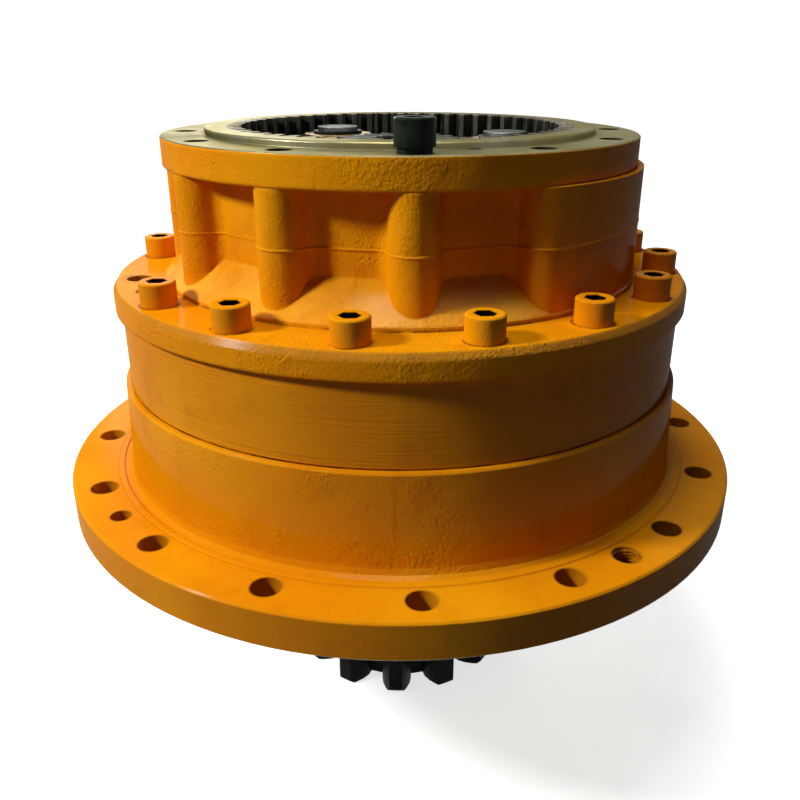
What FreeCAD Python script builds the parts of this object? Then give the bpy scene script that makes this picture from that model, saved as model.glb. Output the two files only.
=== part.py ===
import FreeCAD, Part
import math
import os

os.makedirs("parts", exist_ok=True)

# Swing gearbox, millimetres. The output axis is the Z axis and the
# underside of the mounting flange is Z = 0. Angles round the axis are
# counted from the front (-Y) towards the right (+X).

# Fits and tooth form
RUN_FIT = 0.05
SIDE_PLAY = 0.3
BACKLASH = 0.35
PRESSURE_ANGLE = math.radians(20.0)
PLANETS = 3

# Second stage: fixed ring, three planets, sun driven by the first carrier
MODULE_2 = 6.0
SUN_TEETH_2 = 21
PLANET_TEETH_2 = 21
RING_TEETH_2 = SUN_TEETH_2 + 2 * PLANET_TEETH_2
FIRST_PLANET_2_AT = 15.0
CENTRES_2 = MODULE_2 * (SUN_TEETH_2 + PLANET_TEETH_2) / 2
SUN_2_TIP_R = MODULE_2 * (SUN_TEETH_2 / 2 + 1)
RING_2_ROOT_R = MODULE_2 * (RING_TEETH_2 / 2 + 1.25)

# First stage: fixed ring, three planets, input sun
MODULE_1 = 5.0
SUN_TEETH_1 = 18
PLANET_TEETH_1 = 18
RING_TEETH_1 = SUN_TEETH_1 + 2 * PLANET_TEETH_1
FIRST_PLANET_1_AT = -24.0
CENTRES_1 = MODULE_1 * (SUN_TEETH_1 + PLANET_TEETH_1) / 2
RING_1_ROOT_R = MODULE_1 * (RING_TEETH_1 / 2 + 1.25)

# Outside of the housings, built outwards from the second ring's teeth
RING_BACKING = 24.5
SCREW_EDGE = 16.0
MID_FLANGE_LIP = 5.0
MID_FLANGE_CHAMFER = 3.4
MID_FLANGE_CHAMFER_H = 5.0
JOINT_STEP = 4.5
WALL_DRAFT = 2.5
FOOT_BLEND = 7.0
MOUNT_SEAT_IN = 27.0
MOUNT_EDGE = 24.0
EDGE_BREAK = 1.5
SCREW_PCD_R = RING_2_ROOT_R + RING_BACKING
RING_BODY_R = SCREW_PCD_R + SCREW_EDGE
MID_FLANGE_R = RING_BODY_R + MID_FLANGE_LIP
LOWER_TOP_R = RING_BODY_R + JOINT_STEP
LOWER_FOOT_R = LOWER_TOP_R + WALL_DRAFT
MOUNT_PCD_R = LOWER_FOOT_R + MOUNT_SEAT_IN
MOUNT_FLANGE_R = MOUNT_PCD_R + MOUNT_EDGE

# Heights of the housing joints and faces, from the mounting face up
MOUNT_FACE_Z = 0.0
MOUNT_FLANGE_T = 30.0
LOWER_WALL_H = 78.0
RING_2_H = 63.0
MID_FLANGE_T = 20.0
UPPER_WALL_H = 89.5
RIM_T = 22.5
RING_1_PROUD = 5.0
RING_1_H = 64.0
LOWER_TOP_Z = MOUNT_FLANGE_T + LOWER_WALL_H
MID_FLANGE_Z = LOWER_TOP_Z + RING_2_H
MID_TOP_Z = MID_FLANGE_Z + MID_FLANGE_T
RIM_UNDER_Z = MID_TOP_Z + UPPER_WALL_H
MOTOR_FACE_Z = RIM_UNDER_Z + RIM_T
RING_LIP_Z = MOTOR_FACE_Z + RING_1_PROUD
RING_1_FOOT_Z = RING_LIP_Z - RING_1_H

# Holes of the mounting flange
MOUNT_HOLES = 16
MOUNT_HOLE_R = 11.0
MOUNT_STEP = 360.0 / MOUNT_HOLES
JACKING_HOLE_R = 10.5
JACKING_HOLE_AT = 1.5 * MOUNT_STEP
DOWEL_HOLE_R = 8.0
DOWEL_HOLE_AT = -2.5 * MOUNT_STEP

# Long cap screws through the mid flange and the ring gear
SCREW_PLACES = 16
SCREW_STEP = 360.0 / SCREW_PLACES
SCREW_R = 9.0
SCREW_CLEAR = 1.0
SCREW_HEAD_R = 13.5
SCREW_HEAD_H = 18.0
SCREW_SOCKET_R = 8.1
SCREW_SOCKET_DEPTH = 9.0
SCREW_IN = 40.0
SCREW_HOLE_IN = SCREW_IN + 6.0
EMPTY_PLACE = -4
CASE_JACK_R = 6.0
CASE_JACK_AT = -3.0 * SCREW_STEP

# Motor flange on top of the upper housing, round the first ring gear
RING_1_BACKING = 18.75
RING_1_R = RING_1_ROOT_R + RING_1_BACKING
REGISTER_R = RING_1_R - 1.0
MOTOR_PCD_R = RING_1_R + 16.0
RIM_R = MOTOR_PCD_R + 17.5
MOTOR_HOLES = 12
MOTOR_STEP = 360.0 / MOTOR_HOLES
MOTOR_HOLE_R = 8.0
MOTOR_HOLE_DEPTH = 32.0
MOTOR_SCREW_IN = 26.0
MOTOR_COLLAR_R = 11.5
MOTOR_COLLAR_T = 4.0
LOCK_1_R = 5.0
LOCK_1_DEPTH = 28.0
LOCK_1_FIRST_AT = 15.0

# Columns, pockets, skirt and thick side cast round the upper housing
COLUMN_AT_R = MOTOR_PCD_R + 1.0
COLUMN_R = 17.5
POCKET_R = RING_1_R + 11.0
POCKET_BLEND = 11.0
SKIRT_R = RIM_R + 6.0
SKIRT_STEP = 4.0
SKIRT_H = 30.0
LOBE_R = RIM_R + 5.0
LOBE_END_R = 18.0
LOBE_FROM = 30.0
LOBE_TO = 115.0

# Shaft bearings: tapered rollers whose lines meet on the axis
NOSE_DROP = 66.0
NOSE_BOTTOM_Z = MOUNT_FACE_Z - NOSE_DROP
ROLLER_TILT = math.radians(10.0)
CONE_WALL = 8.0
CUP_WALL = 11.0
LOWER_BORE_R = 75.0
LOWER_ROLLER_R = 13.0
LOWER_ROLLER_L = 38.0
LOWER_BEARING_H = 56.0
LOWER_BEARING_Z = (NOSE_BOTTOM_Z, NOSE_BOTTOM_Z + LOWER_BEARING_H)
LOWER_MEAN_R = LOWER_BORE_R + CONE_WALL + LOWER_ROLLER_R
LOWER_CUP_R = LOWER_MEAN_R + LOWER_ROLLER_R + CUP_WALL
BEARING_GAP = 14.0
UPPER_BORE_R = LOWER_BORE_R - 10.0
UPPER_ROLLER_R = 12.0
UPPER_ROLLER_L = 30.0
UPPER_BEARING_H = 46.0
UPPER_BEARING_Z = (LOWER_BEARING_Z[1] + BEARING_GAP, LOWER_BEARING_Z[1] + BEARING_GAP + UPPER_BEARING_H)
UPPER_MEAN_R = UPPER_BORE_R + CONE_WALL + UPPER_ROLLER_R
UPPER_CUP_R = UPPER_MEAN_R + UPPER_ROLLER_R + CUP_WALL
SHOULDER_R = UPPER_CUP_R - 14.0
SPACER_R = LOWER_BORE_R + 5.0

# Lower housing below and inside its wall
NOSE_WALL = 30.0
NOSE_R = LOWER_CUP_R + NOSE_WALL
NOSE_NECK_H = 20.0
SPIGOT_INSET = 61.0
SPIGOT_R = MOUNT_PCD_R - SPIGOT_INSET
SPIGOT_H = 8.0
HUB_WALL = 12.0
CAVITY_R = RING_2_ROOT_R + 6.5
FLOOR_T = 24.0
FLOOR_BLEND = 33.0
FLOOR_RISE = 34.0
SEAL_GAP = (SCREW_PCD_R - SCREW_R - SCREW_CLEAR - CAVITY_R) / 4
JOINT_SEAL_R = (CAVITY_R + SEAL_GAP, CAVITY_R + 3 * SEAL_GAP)
JOINT_SEAL_T = 3.0
DOWEL_R = 8.0
DOWEL_DEPTH = 12.0
PLUG_Z = MOUNT_FLANGE_T + 22.0
PLUG_R = 12.0
PLUG_HEAD_R = 15.6
PLUG_HEAD_H = 12.0
PLUG_SPOT_R = 20.0
PLUG_SEAT_R = LOWER_TOP_R - EDGE_BREAK
PLUG_LENGTH = 30.0

# Cover and seal under the nose
COVER_T = 18.0
COVER_Z = NOSE_BOTTOM_Z - COVER_T
COVER_SCREWS = 8
COVER_PCD_R = LOWER_CUP_R + NOSE_WALL / 2
COVER_SCREW_R = 6.0
COVER_SCREW_IN = 34.0
COVER_HEAD_R = 9.0
COVER_HEAD_H = 12.0
COVER_SOCKET_R = 5.8
COVER_SOCKET_DEPTH = 6.0
SEAL_JOURNAL_R = LOWER_BORE_R + 5.0
SEAL_LIP_R = SEAL_JOURNAL_R + 6.0
SEAL_OUT_R = SEAL_LIP_R + 10.0
SEAL_SEAT_T = 4.0
SEAL_STEP = 3.0

# Output pinion under the cover
PINION_MODULE = 14.0
PINION_TEETH = 12
PINION_SHIFT = 0.5
PINION_FIRST_AT = -5.4
PINION_PITCH_R = PINION_MODULE * PINION_TEETH / 2
PINION_TIP_R = PINION_PITCH_R + 15.5
PINION_ROOT_R = PINION_PITCH_R - 10.5
PINION_DROP = 8.0
PINION_H = 110.0
PINION_TOP_Z = COVER_Z - PINION_DROP
PINION_LOW_Z = PINION_TOP_Z - PINION_H
PINION_CHAMFER = 3.0
COLLAR_GAP = 2.0

# Second carrier: plates, bridges, pins and the plate that holds it on the shaft
WASHER_2_T = 4.0
PLATE_2_SINK = 2.0
PLATE_2_LOW_T = 22.0
PLATE_2_HIGH_T = 16.0
PLANET_2_TOP_IN = 1.3
PLATE_2_TOP_Z = LOWER_TOP_Z - PLATE_2_SINK
PLATE_2_LOW = (PLATE_2_TOP_Z - PLATE_2_LOW_T, PLATE_2_TOP_Z)
PLANET_2_Z = (PLATE_2_TOP_Z + WASHER_2_T + SIDE_PLAY, MID_FLANGE_Z - PLANET_2_TOP_IN)
PLATE_2_HIGH_Z = PLANET_2_Z[1] + SIDE_PLAY + WASHER_2_T
PLATE_2_HIGH = (PLATE_2_HIGH_Z, PLATE_2_HIGH_Z + PLATE_2_HIGH_T)
SUN_2_Z = (PLANET_2_Z[0], PLANET_2_Z[1] - 1.0)
PIN_2_R = 28.0
BUSH_2_R = PIN_2_R + 8.0
WASHER_2_R = BUSH_2_R + 8.0
PLATE_2_R = CENTRES_2 + PIN_2_R + 18.0
BRIDGE_R = 38.0
BRIDGE_AT_R = CENTRES_2 + 2.0
OPENING_2_R = SUN_2_TIP_R + 6.0
SUN_WASHER_IN_R = 30.0
SUN_WASHER_R = SUN_2_TIP_R - 9.0
HUB_2_Z = UPPER_BEARING_Z[1]
HUB_2_R = UPPER_BORE_R + 23.0
SHAFT_SPLINE_TEETH = 20
SHAFT_SPLINE_R = (UPPER_BORE_R - 8.0, UPPER_BORE_R - 3.0)
KEEPER_T = 16.0
KEEPER_Z = PLATE_2_TOP_Z - KEEPER_T
KEEPER_R = UPPER_BORE_R + 7.0
KEEPER_BOSS_R = SHAFT_SPLINE_R[0] - 2.0
KEEPER_SCREWS = 4
KEEPER_PCD_R = 36.0
KEEPER_SCREW_IN = 28.0
KEEPER_HOLE_IN = KEEPER_SCREW_IN + 4.0
SHAFT_END_Z = KEEPER_Z - 2.0
PIN_LOCK_R = 4.0
PIN_LOCK_Z = PLATE_2_TOP_Z - PLATE_2_LOW_T / 2
PIN_LOCK_FROM_R = CENTRES_2 - 16.0
PIN_LOCK_TO_R = PLATE_2_R - 2.0

# First carrier: one plate on the second sun's splined shaft
PLATE_1_DROP = 18.0
PLATE_1_T = 22.0
HUB_1_H = 20.0
WASHER_1_LOW_T = 4.0
WASHER_1_TOP_T = 3.0
PLANET_1_H = 39.4
CLIP_T = 2.5
PLATE_1 = (RING_1_FOOT_Z - PLATE_1_DROP, RING_1_FOOT_Z - PLATE_1_DROP + PLATE_1_T)
HUB_1_Z = PLATE_1[0] - HUB_1_H
PLANET_1_LOW_Z = PLATE_1[1] + WASHER_1_LOW_T + SIDE_PLAY
PLANET_1_Z = (PLANET_1_LOW_Z, PLANET_1_LOW_Z + PLANET_1_H)
CLIP_LOW_Z = PLANET_1_Z[1] + SIDE_PLAY + WASHER_1_TOP_T
CLIP_Z = (CLIP_LOW_Z, CLIP_LOW_Z + CLIP_T)
PIN_1_END_Z = CLIP_Z[1] + 3.5
PIN_1_R = 18.0
BUSH_1_R = PIN_1_R + 6.0
WASHER_1_R = BUSH_1_R + 6.0
CLIP_IN_R = PIN_1_R - 1.5
CLIP_R = PIN_1_R + 4.0
CLIP_GROOVE_R = PIN_1_R + 1.0
PLATE_1_R = CENTRES_1 + PIN_1_R + 10.0
SUN_SHAFT_R = 46.0
SUN_SPLINE_TEETH = 18
SUN_SPLINE_R = (SUN_SHAFT_R - 8.5, SUN_SHAFT_R - 4.0)
SUN_SHAFT_END_Z = PLATE_1[1] - 2.0
HUB_1_R = SUN_SHAFT_R + 14.0
THRUST_PLATE_R = SUN_SHAFT_R + 2.0
THRUST_PLATE_T = 3.0
SUN_1_PROUD = 5.3
SUN_1_Z = (PLATE_1[1] + THRUST_PLATE_T + SIDE_PLAY, PLANET_1_Z[1] + SUN_1_PROUD)
INPUT_SPLINE_TEETH = 16
INPUT_SPLINE_R = (22.5, 26.0)

# Inside of the upper housing, clear of the second carrier and under the ring
UPPER_BORE_CLEAR = 6.0
BORE_R = PLATE_2_R + UPPER_BORE_CLEAR
BORE_TOP_Z = MID_TOP_Z + 5.0
NECK_R = RING_1_R - 12.0
NECK_H = 6.0


def spot(radius, degrees, z=0.0):
    a = math.radians(degrees)
    return FreeCAD.Vector(radius * math.sin(a), -radius * math.cos(a), z)


def cylinder(radius, z0, z1, at=None):
    base = FreeCAD.Vector(0, 0, z0)
    if at is not None:
        base = FreeCAD.Vector(at.x, at.y, z0)
    return Part.makeCylinder(radius, z1 - z0, base)


def tube(inner, outer, z0, z1, at=None):
    return cylinder(outer, z0, z1, at).cut(cylinder(inner, z0, z1, at))


def turned(profile):
    points = [FreeCAD.Vector(r, 0, z) for r, z in profile]
    points.append(points[0])
    face = Part.Face(Part.makePolygon(points))
    return face.revolve(FreeCAD.Vector(0, 0, 0), FreeCAD.Vector(0, 0, 1), 360)


def holes(radius, pcd_r, angles, z0, z1):
    return Part.makeCompound([cylinder(radius, z0, z1, spot(pcd_r, a)) for a in angles])


def prism(points, z0, z1):
    ring = [FreeCAD.Vector(x, y, z0) for x, y in points]
    ring.append(ring[0])
    return Part.Face(Part.makePolygon(ring)).extrude(FreeCAD.Vector(0, 0, z1 - z0))


def hexagon(radius, z0, z1, at):
    points = [(at.x + radius * math.cos(math.radians(a)),
               at.y + radius * math.sin(math.radians(a))) for a in range(0, 360, 60)]
    return prism(points, z0, z1)


def export(shape, name):
    shape.exportStep("parts/" + name + ".step")


# Involute tooth outlines
def involute(angle):
    return math.tan(angle) - angle


def half_tooth(radius, pitch_r, thickness):
    base_r = pitch_r * math.cos(PRESSURE_ANGLE)
    here = math.acos(min(1.0, base_r / radius))
    return thickness / (2.0 * pitch_r) + involute(PRESSURE_ANGLE) - involute(here)


def toothed(teeth, pitch_r, root_r, tip_r, thickness, phase, z0, z1, steps=2):
    radii = [root_r + (tip_r - root_r) * i / steps for i in range(steps + 1)]
    points = []
    for t in range(teeth):
        middle = phase + 2.0 * math.pi * t / teeth
        for side in (-1, 1):
            for r in radii[::-side]:
                a = middle + side * half_tooth(r, pitch_r, thickness)
                points.append((r * math.cos(a), r * math.sin(a)))
    return prism(points, z0, z1)


def ring_space(module, teeth, z0, z1):
    pitch_r = module * teeth / 2.0
    width = module * math.pi / 2.0 + BACKLASH
    return toothed(teeth, pitch_r, pitch_r - module, pitch_r + 1.25 * module, width, math.pi / teeth, z0, z1)


def external_gear(module, teeth, phase, z0, z1):
    pitch_r = module * teeth / 2.0
    width = module * math.pi / 2.0 - BACKLASH
    return toothed(teeth, pitch_r, pitch_r - 1.25 * module, pitch_r + module, width, phase, z0, z1)


def spline(teeth, radii, z0, z1):
    root_r, out_r = radii
    pitch = 2.0 * math.pi / teeth
    points = []
    for t in range(teeth):
        for r, part in ((root_r, -0.30), (out_r, -0.20), (out_r, 0.20), (root_r, 0.30)):
            a = (t + part) * pitch
            points.append((r * math.cos(a), r * math.sin(a)))
    return prism(points, z0, z1)


# Planet places and the tooth phases, from the X axis, that put a stage in mesh
def planet_angle(first, k):
    return math.radians(first - 90.0 + 360.0 * k / PLANETS)


def planet_centre(first, centres, k):
    a = planet_angle(first, k)
    return FreeCAD.Vector(centres * math.cos(a), centres * math.sin(a), 0)


def planet_phase(angle, ring_teeth, planet_teeth):
    turn = angle * ring_teeth / (2.0 * math.pi) - 0.5
    return angle - 2.0 * math.pi * turn / planet_teeth


def sun_phase(first, sun_teeth, ring_teeth, planet_teeth):
    total = planet_angle(first, 0) * (sun_teeth + ring_teeth) + math.pi * planet_teeth
    return total / sun_teeth


def pins_2(radius, z0, z1):
    centres = [planet_centre(FIRST_PLANET_2_AT, CENTRES_2, k) for k in range(PLANETS)]
    return Part.makeCompound([cylinder(radius, z0, z1, at) for at in centres])


def pins_1(radius, z0, z1):
    centres = [planet_centre(FIRST_PLANET_1_AT, CENTRES_1, k) for k in range(PLANETS)]
    return Part.makeCompound([cylinder(radius, z0, z1, at) for at in centres])


# Screw places, counted from the front
def screw_angles():
    return [(k + 0.5) * SCREW_STEP for k in range(-SCREW_PLACES // 2, SCREW_PLACES // 2)]


def filled_screw_angles():
    return [a for a in screw_angles() if a != (EMPTY_PLACE + 0.5) * SCREW_STEP]


def cover_angles():
    return [(k + 0.5) * 360.0 / COVER_SCREWS for k in range(COVER_SCREWS)]


def keeper_angles():
    return [(k + 0.5) * 360.0 / KEEPER_SCREWS for k in range(KEEPER_SCREWS)]


def dowel_holes(z0, z1):
    return holes(DOWEL_R, SCREW_PCD_R, [0.0, 180.0], z0, z1)


# Lower housing as it is turned: nose, spigot, mounting flange, wall and bores
def lower_housing_profile():
    hub_r = UPPER_CUP_R + HUB_WALL
    edge = EDGE_BREAK
    spigot_z = MOUNT_FACE_Z - SPIGOT_H
    outside = [
        (NOSE_R - edge, NOSE_BOTTOM_Z), (NOSE_R, NOSE_BOTTOM_Z + edge), (NOSE_R, MOUNT_FACE_Z - NOSE_NECK_H),
        (NOSE_R + HUB_WALL, spigot_z), (SPIGOT_R - edge, spigot_z), (SPIGOT_R, spigot_z + edge),
        (SPIGOT_R, MOUNT_FACE_Z), (MOUNT_FLANGE_R - edge, MOUNT_FACE_Z), (MOUNT_FLANGE_R, MOUNT_FACE_Z + edge),
        (MOUNT_FLANGE_R, MOUNT_FLANGE_T - edge), (MOUNT_FLANGE_R - edge, MOUNT_FLANGE_T),
        (LOWER_FOOT_R + 0.7 * FOOT_BLEND, MOUNT_FLANGE_T), (LOWER_FOOT_R + 0.2 * FOOT_BLEND, MOUNT_FLANGE_T + 2.0),
        (LOWER_FOOT_R, MOUNT_FLANGE_T + FOOT_BLEND), (LOWER_TOP_R, LOWER_TOP_Z - edge),
        (LOWER_TOP_R - edge, LOWER_TOP_Z)]
    inside = [
        (CAVITY_R, LOWER_TOP_Z), (CAVITY_R, FLOOR_T + FLOOR_RISE), (CAVITY_R - FLOOR_BLEND, FLOOR_T),
        (hub_r + 8.0, FLOOR_T), (hub_r, FLOOR_T + 8.0), (hub_r, HUB_2_Z), (UPPER_CUP_R, HUB_2_Z),
        (UPPER_CUP_R, UPPER_BEARING_Z[0]), (SHOULDER_R, UPPER_BEARING_Z[0]), (SHOULDER_R, LOWER_BEARING_Z[1]),
        (LOWER_CUP_R, LOWER_BEARING_Z[1]), (LOWER_CUP_R, NOSE_BOTTOM_Z)]
    return outside + inside


def lower_housing():
    regular = [k * MOUNT_STEP for k in range(MOUNT_HOLES)]
    body = turned(lower_housing_profile())
    body = body.cut(holes(MOUNT_HOLE_R, MOUNT_PCD_R, regular, MOUNT_FACE_Z, MOUNT_FLANGE_T))
    body = body.cut(holes(JACKING_HOLE_R, MOUNT_PCD_R, [JACKING_HOLE_AT], MOUNT_FACE_Z, MOUNT_FLANGE_T))
    body = body.cut(holes(DOWEL_HOLE_R, MOUNT_PCD_R, [DOWEL_HOLE_AT], MOUNT_FACE_Z, MOUNT_FLANGE_T))
    body = body.cut(holes(SCREW_R, SCREW_PCD_R, screw_angles(), LOWER_TOP_Z - SCREW_HOLE_IN, LOWER_TOP_Z))
    body = body.cut(dowel_holes(LOWER_TOP_Z - DOWEL_DEPTH, LOWER_TOP_Z))
    body = body.cut(holes(COVER_SCREW_R, COVER_PCD_R, cover_angles(), NOSE_BOTTOM_Z, NOSE_BOTTOM_Z + COVER_SCREW_IN))
    body = body.cut(joint_seal(LOWER_TOP_Z - JOINT_SEAL_T))
    body = body.cut(plug_bore(PLUG_R, CAVITY_R - FLOOR_BLEND, PLUG_SEAT_R))
    return body.cut(plug_bore(PLUG_SPOT_R, PLUG_SEAT_R, LOWER_FOOT_R + 1.0))


# Plug that drains the oil bath, at the rear of the lower housing
def plug_bore(radius, from_r, to_r):
    return Part.makeCylinder(radius, to_r - from_r, FreeCAD.Vector(0, from_r, PLUG_Z), FreeCAD.Vector(0, 1, 0))


def drain_plug():
    shank = plug_bore(PLUG_R, PLUG_SEAT_R - PLUG_LENGTH, PLUG_SEAT_R)
    head = hexagon(PLUG_HEAD_R, 0.0, PLUG_HEAD_H, FreeCAD.Vector(0, 0, 0))
    head.rotate(FreeCAD.Vector(0, 0, 0), FreeCAD.Vector(1, 0, 0), -90)
    head.translate(FreeCAD.Vector(0, PLUG_SEAT_R, PLUG_Z))
    return shank.fuse(head)


# Second stage ring gear, which is also the middle wall of the gearbox
def second_stage_ring_gear():
    body = cylinder(RING_BODY_R, LOWER_TOP_Z, MID_FLANGE_Z)
    body = body.cut(ring_space(MODULE_2, RING_TEETH_2, LOWER_TOP_Z, MID_FLANGE_Z))
    body = body.cut(holes(SCREW_R + SCREW_CLEAR, SCREW_PCD_R, screw_angles(), LOWER_TOP_Z, MID_FLANGE_Z))
    return body.cut(dowel_holes(LOWER_TOP_Z, MID_FLANGE_Z))


# Outline of the upper housing's wall: bolt columns joined to pockets by blends
def scalloped_wire(z):
    blend_r = POCKET_R + POCKET_BLEND
    reach = COLUMN_R + POCKET_BLEND
    cosine = (COLUMN_AT_R ** 2 + blend_r ** 2 - reach ** 2) / (2.0 * COLUMN_AT_R * blend_r)
    swing = math.degrees(math.acos(cosine))
    edges = []
    for k in range(MOTOR_HOLES):
        at = k * MOTOR_STEP
        centre = spot(COLUMN_AT_R, at, z)
        ends = []
        for side in (-1, 1):
            hub = spot(blend_r, at + side * swing, z)
            on_column = centre + (hub - centre) * (COLUMN_R / reach)
            on_pocket = spot(POCKET_R, at + side * swing, z)
            middle = (on_column + on_pocket) * 0.5 - hub
            middle.normalize()
            ends.append((on_pocket, hub + middle * POCKET_BLEND, on_column))
        edges.append(Part.Arc(*ends[0]).toShape())
        edges.append(Part.Arc(ends[0][2], spot(COLUMN_AT_R + COLUMN_R, at, z), ends[1][2]).toShape())
        edges.append(Part.Arc(*ends[1][::-1]).toShape())
        following = spot(POCKET_R, at + MOTOR_STEP - swing, z)
        edges.append(Part.Arc(ends[1][0], spot(POCKET_R, at + MOTOR_STEP / 2.0, z), following).toShape())
    return Part.Wire(edges)


def scalloped_wall():
    return Part.Face(scalloped_wire(MID_TOP_Z)).extrude(FreeCAD.Vector(0, 0, UPPER_WALL_H))


# Sloping skirt that the columns stand in
def skirt():
    step_z = MID_TOP_Z + SKIRT_STEP
    return turned([(0, MID_TOP_Z), (SKIRT_R, MID_TOP_Z), (SKIRT_R, step_z - 1.0), (SKIRT_R - 1.0, step_z),
                   (POCKET_R - 1.0, MID_TOP_Z + SKIRT_H), (0, MID_TOP_Z + SKIRT_H)])


# Thick unpocketed side of the upper housing
def side_lobe():
    up = FreeCAD.Vector(0, 0, 1)
    low = FreeCAD.Vector(0, 0, MID_TOP_Z)
    sector = Part.makeCylinder(LOBE_R, UPPER_WALL_H, low, up, LOBE_TO - LOBE_FROM)
    sector.rotate(FreeCAD.Vector(0, 0, 0), up, LOBE_FROM - 90.0)
    for at in (LOBE_FROM, LOBE_TO):
        sector = sector.fuse(cylinder(LOBE_END_R, MID_TOP_Z, RIM_UNDER_Z, spot(LOBE_R - LOBE_END_R, at)))
    return sector


# Upper housing: mid flange, skirt, columns, thick side and motor flange
def upper_housing():
    edge = 1.0
    flange = turned([(0, MID_FLANGE_Z), (MID_FLANGE_R - edge, MID_FLANGE_Z), (MID_FLANGE_R, MID_FLANGE_Z + edge),
                     (MID_FLANGE_R, MID_TOP_Z - MID_FLANGE_CHAMFER_H), (MID_FLANGE_R - MID_FLANGE_CHAMFER, MID_TOP_Z),
                     (0, MID_TOP_Z)])
    rim = turned([(0, RIM_UNDER_Z), (RIM_R - edge, RIM_UNDER_Z), (RIM_R, RIM_UNDER_Z + edge),
                  (RIM_R, MOTOR_FACE_Z - edge), (RIM_R - edge, MOTOR_FACE_Z), (0, MOTOR_FACE_Z)])
    body = flange.fuse(scalloped_wall()).fuse(skirt()).fuse(side_lobe()).fuse(rim)
    body = body.cut(turned([(0, MID_FLANGE_Z), (BORE_R, MID_FLANGE_Z), (BORE_R, BORE_TOP_Z),
                            (NECK_R, RING_1_FOOT_Z - NECK_H), (NECK_R, RING_1_FOOT_Z), (RING_1_R, RING_1_FOOT_Z),
                            (RING_1_R, MOTOR_FACE_Z), (0, MOTOR_FACE_Z)]))
    body = body.cut(holes(SCREW_R + SCREW_CLEAR, SCREW_PCD_R, screw_angles(), MID_FLANGE_Z, MID_TOP_Z))
    body = body.cut(holes(CASE_JACK_R, SCREW_PCD_R, [CASE_JACK_AT], MID_FLANGE_Z, MID_TOP_Z))
    body = body.cut(dowel_holes(MID_FLANGE_Z, MID_FLANGE_Z + DOWEL_DEPTH))
    motor_angles = [k * MOTOR_STEP for k in range(MOTOR_HOLES)]
    body = body.cut(holes(MOTOR_HOLE_R, MOTOR_PCD_R, motor_angles, MOTOR_FACE_Z - MOTOR_HOLE_DEPTH, MOTOR_FACE_Z))
    body = body.cut(ring_lock_pins())
    return body.cut(joint_seal(MID_FLANGE_Z))


# First stage ring gear, pressed into the motor flange and standing proud of it
def first_stage_ring_gear():
    edge = 1.0
    body = turned([(0, RING_1_FOOT_Z), (RING_1_R, RING_1_FOOT_Z), (RING_1_R, MOTOR_FACE_Z), (REGISTER_R, MOTOR_FACE_Z),
                   (REGISTER_R, RING_LIP_Z - edge), (REGISTER_R - edge, RING_LIP_Z), (0, RING_LIP_Z)])
    body = body.cut(ring_space(MODULE_1, RING_TEETH_1, RING_1_FOOT_Z, RING_LIP_Z))
    return body.cut(ring_lock_pins())


def ring_lock_pins():
    angles = [LOCK_1_FIRST_AT + 120.0 * k for k in range(3)]
    return holes(LOCK_1_R, RING_1_R, angles, MOTOR_FACE_Z - LOCK_1_DEPTH, MOTOR_FACE_Z)


def joint_seal(z0):
    return tube(*JOINT_SEAL_R, z0, z0 + JOINT_SEAL_T)


# A socket head cap screw standing on the face at head_z
def cap_screw(at, shank_r, end_z, head_r, head_z, head_h, socket_r, socket_depth):
    edge = 1.0
    top = head_z + head_h
    head = cylinder(head_r, head_z, top - edge, at)
    crown = Part.makeCone(head_r, head_r - edge, edge, FreeCAD.Vector(at.x, at.y, top - edge))
    screw = cylinder(shank_r, end_z, head_z, at).fuse(head).fuse(crown)
    return screw.cut(hexagon(socket_r, top - socket_depth, top, at)).removeSplitter()


def flange_cap_screws():
    return Part.makeCompound([
        cap_screw(spot(SCREW_PCD_R, a), SCREW_R, LOWER_TOP_Z - SCREW_IN, SCREW_HEAD_R, MID_TOP_Z, SCREW_HEAD_H,
                  SCREW_SOCKET_R, SCREW_SOCKET_DEPTH) for a in filled_screw_angles()])


# The loose motor screw stands in its hole on a lock washer
def motor_flange_screw():
    return cap_screw(spot(MOTOR_PCD_R, 0.0), MOTOR_HOLE_R - RUN_FIT, MOTOR_FACE_Z - MOTOR_SCREW_IN, SCREW_HEAD_R,
                     MOTOR_FACE_Z + MOTOR_COLLAR_T, SCREW_HEAD_H, SCREW_SOCKET_R, SCREW_SOCKET_DEPTH)


def motor_flange_washer():
    return tube(MOTOR_HOLE_R - RUN_FIT, MOTOR_COLLAR_R, MOTOR_FACE_Z, MOTOR_FACE_Z + MOTOR_COLLAR_T,
                spot(MOTOR_PCD_R, 0.0))


# Cover under the nose that holds the shaft seal and the lower bearing
def bottom_cover():
    seat_z = COVER_Z + SEAL_SEAT_T
    body = turned([(SEAL_LIP_R, COVER_Z), (NOSE_R - 2.0, COVER_Z), (NOSE_R, COVER_Z + 2.0), (NOSE_R, NOSE_BOTTOM_Z),
                   (SEAL_OUT_R, NOSE_BOTTOM_Z), (SEAL_OUT_R, seat_z), (SEAL_LIP_R, seat_z)])
    body = body.cut(holes(COVER_SCREW_R, COVER_PCD_R, cover_angles(), COVER_Z, NOSE_BOTTOM_Z))
    return body.cut(holes(COVER_HEAD_R, COVER_PCD_R, cover_angles(), COVER_Z, COVER_Z + COVER_HEAD_H))


def bottom_cover_screws():
    end_z = NOSE_BOTTOM_Z + COVER_SCREW_IN - 4.0
    screws = []
    for a in cover_angles():
        at = spot(COVER_PCD_R, a)
        socket = hexagon(COVER_SOCKET_R, COVER_Z, COVER_Z + COVER_SOCKET_DEPTH, at)
        head = cylinder(COVER_HEAD_R, COVER_Z, COVER_Z + COVER_HEAD_H, at).cut(socket)
        screws.append(head.fuse(cylinder(COVER_SCREW_R, COVER_Z + COVER_HEAD_H, end_z, at)))
    return Part.makeCompound(screws)


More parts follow.
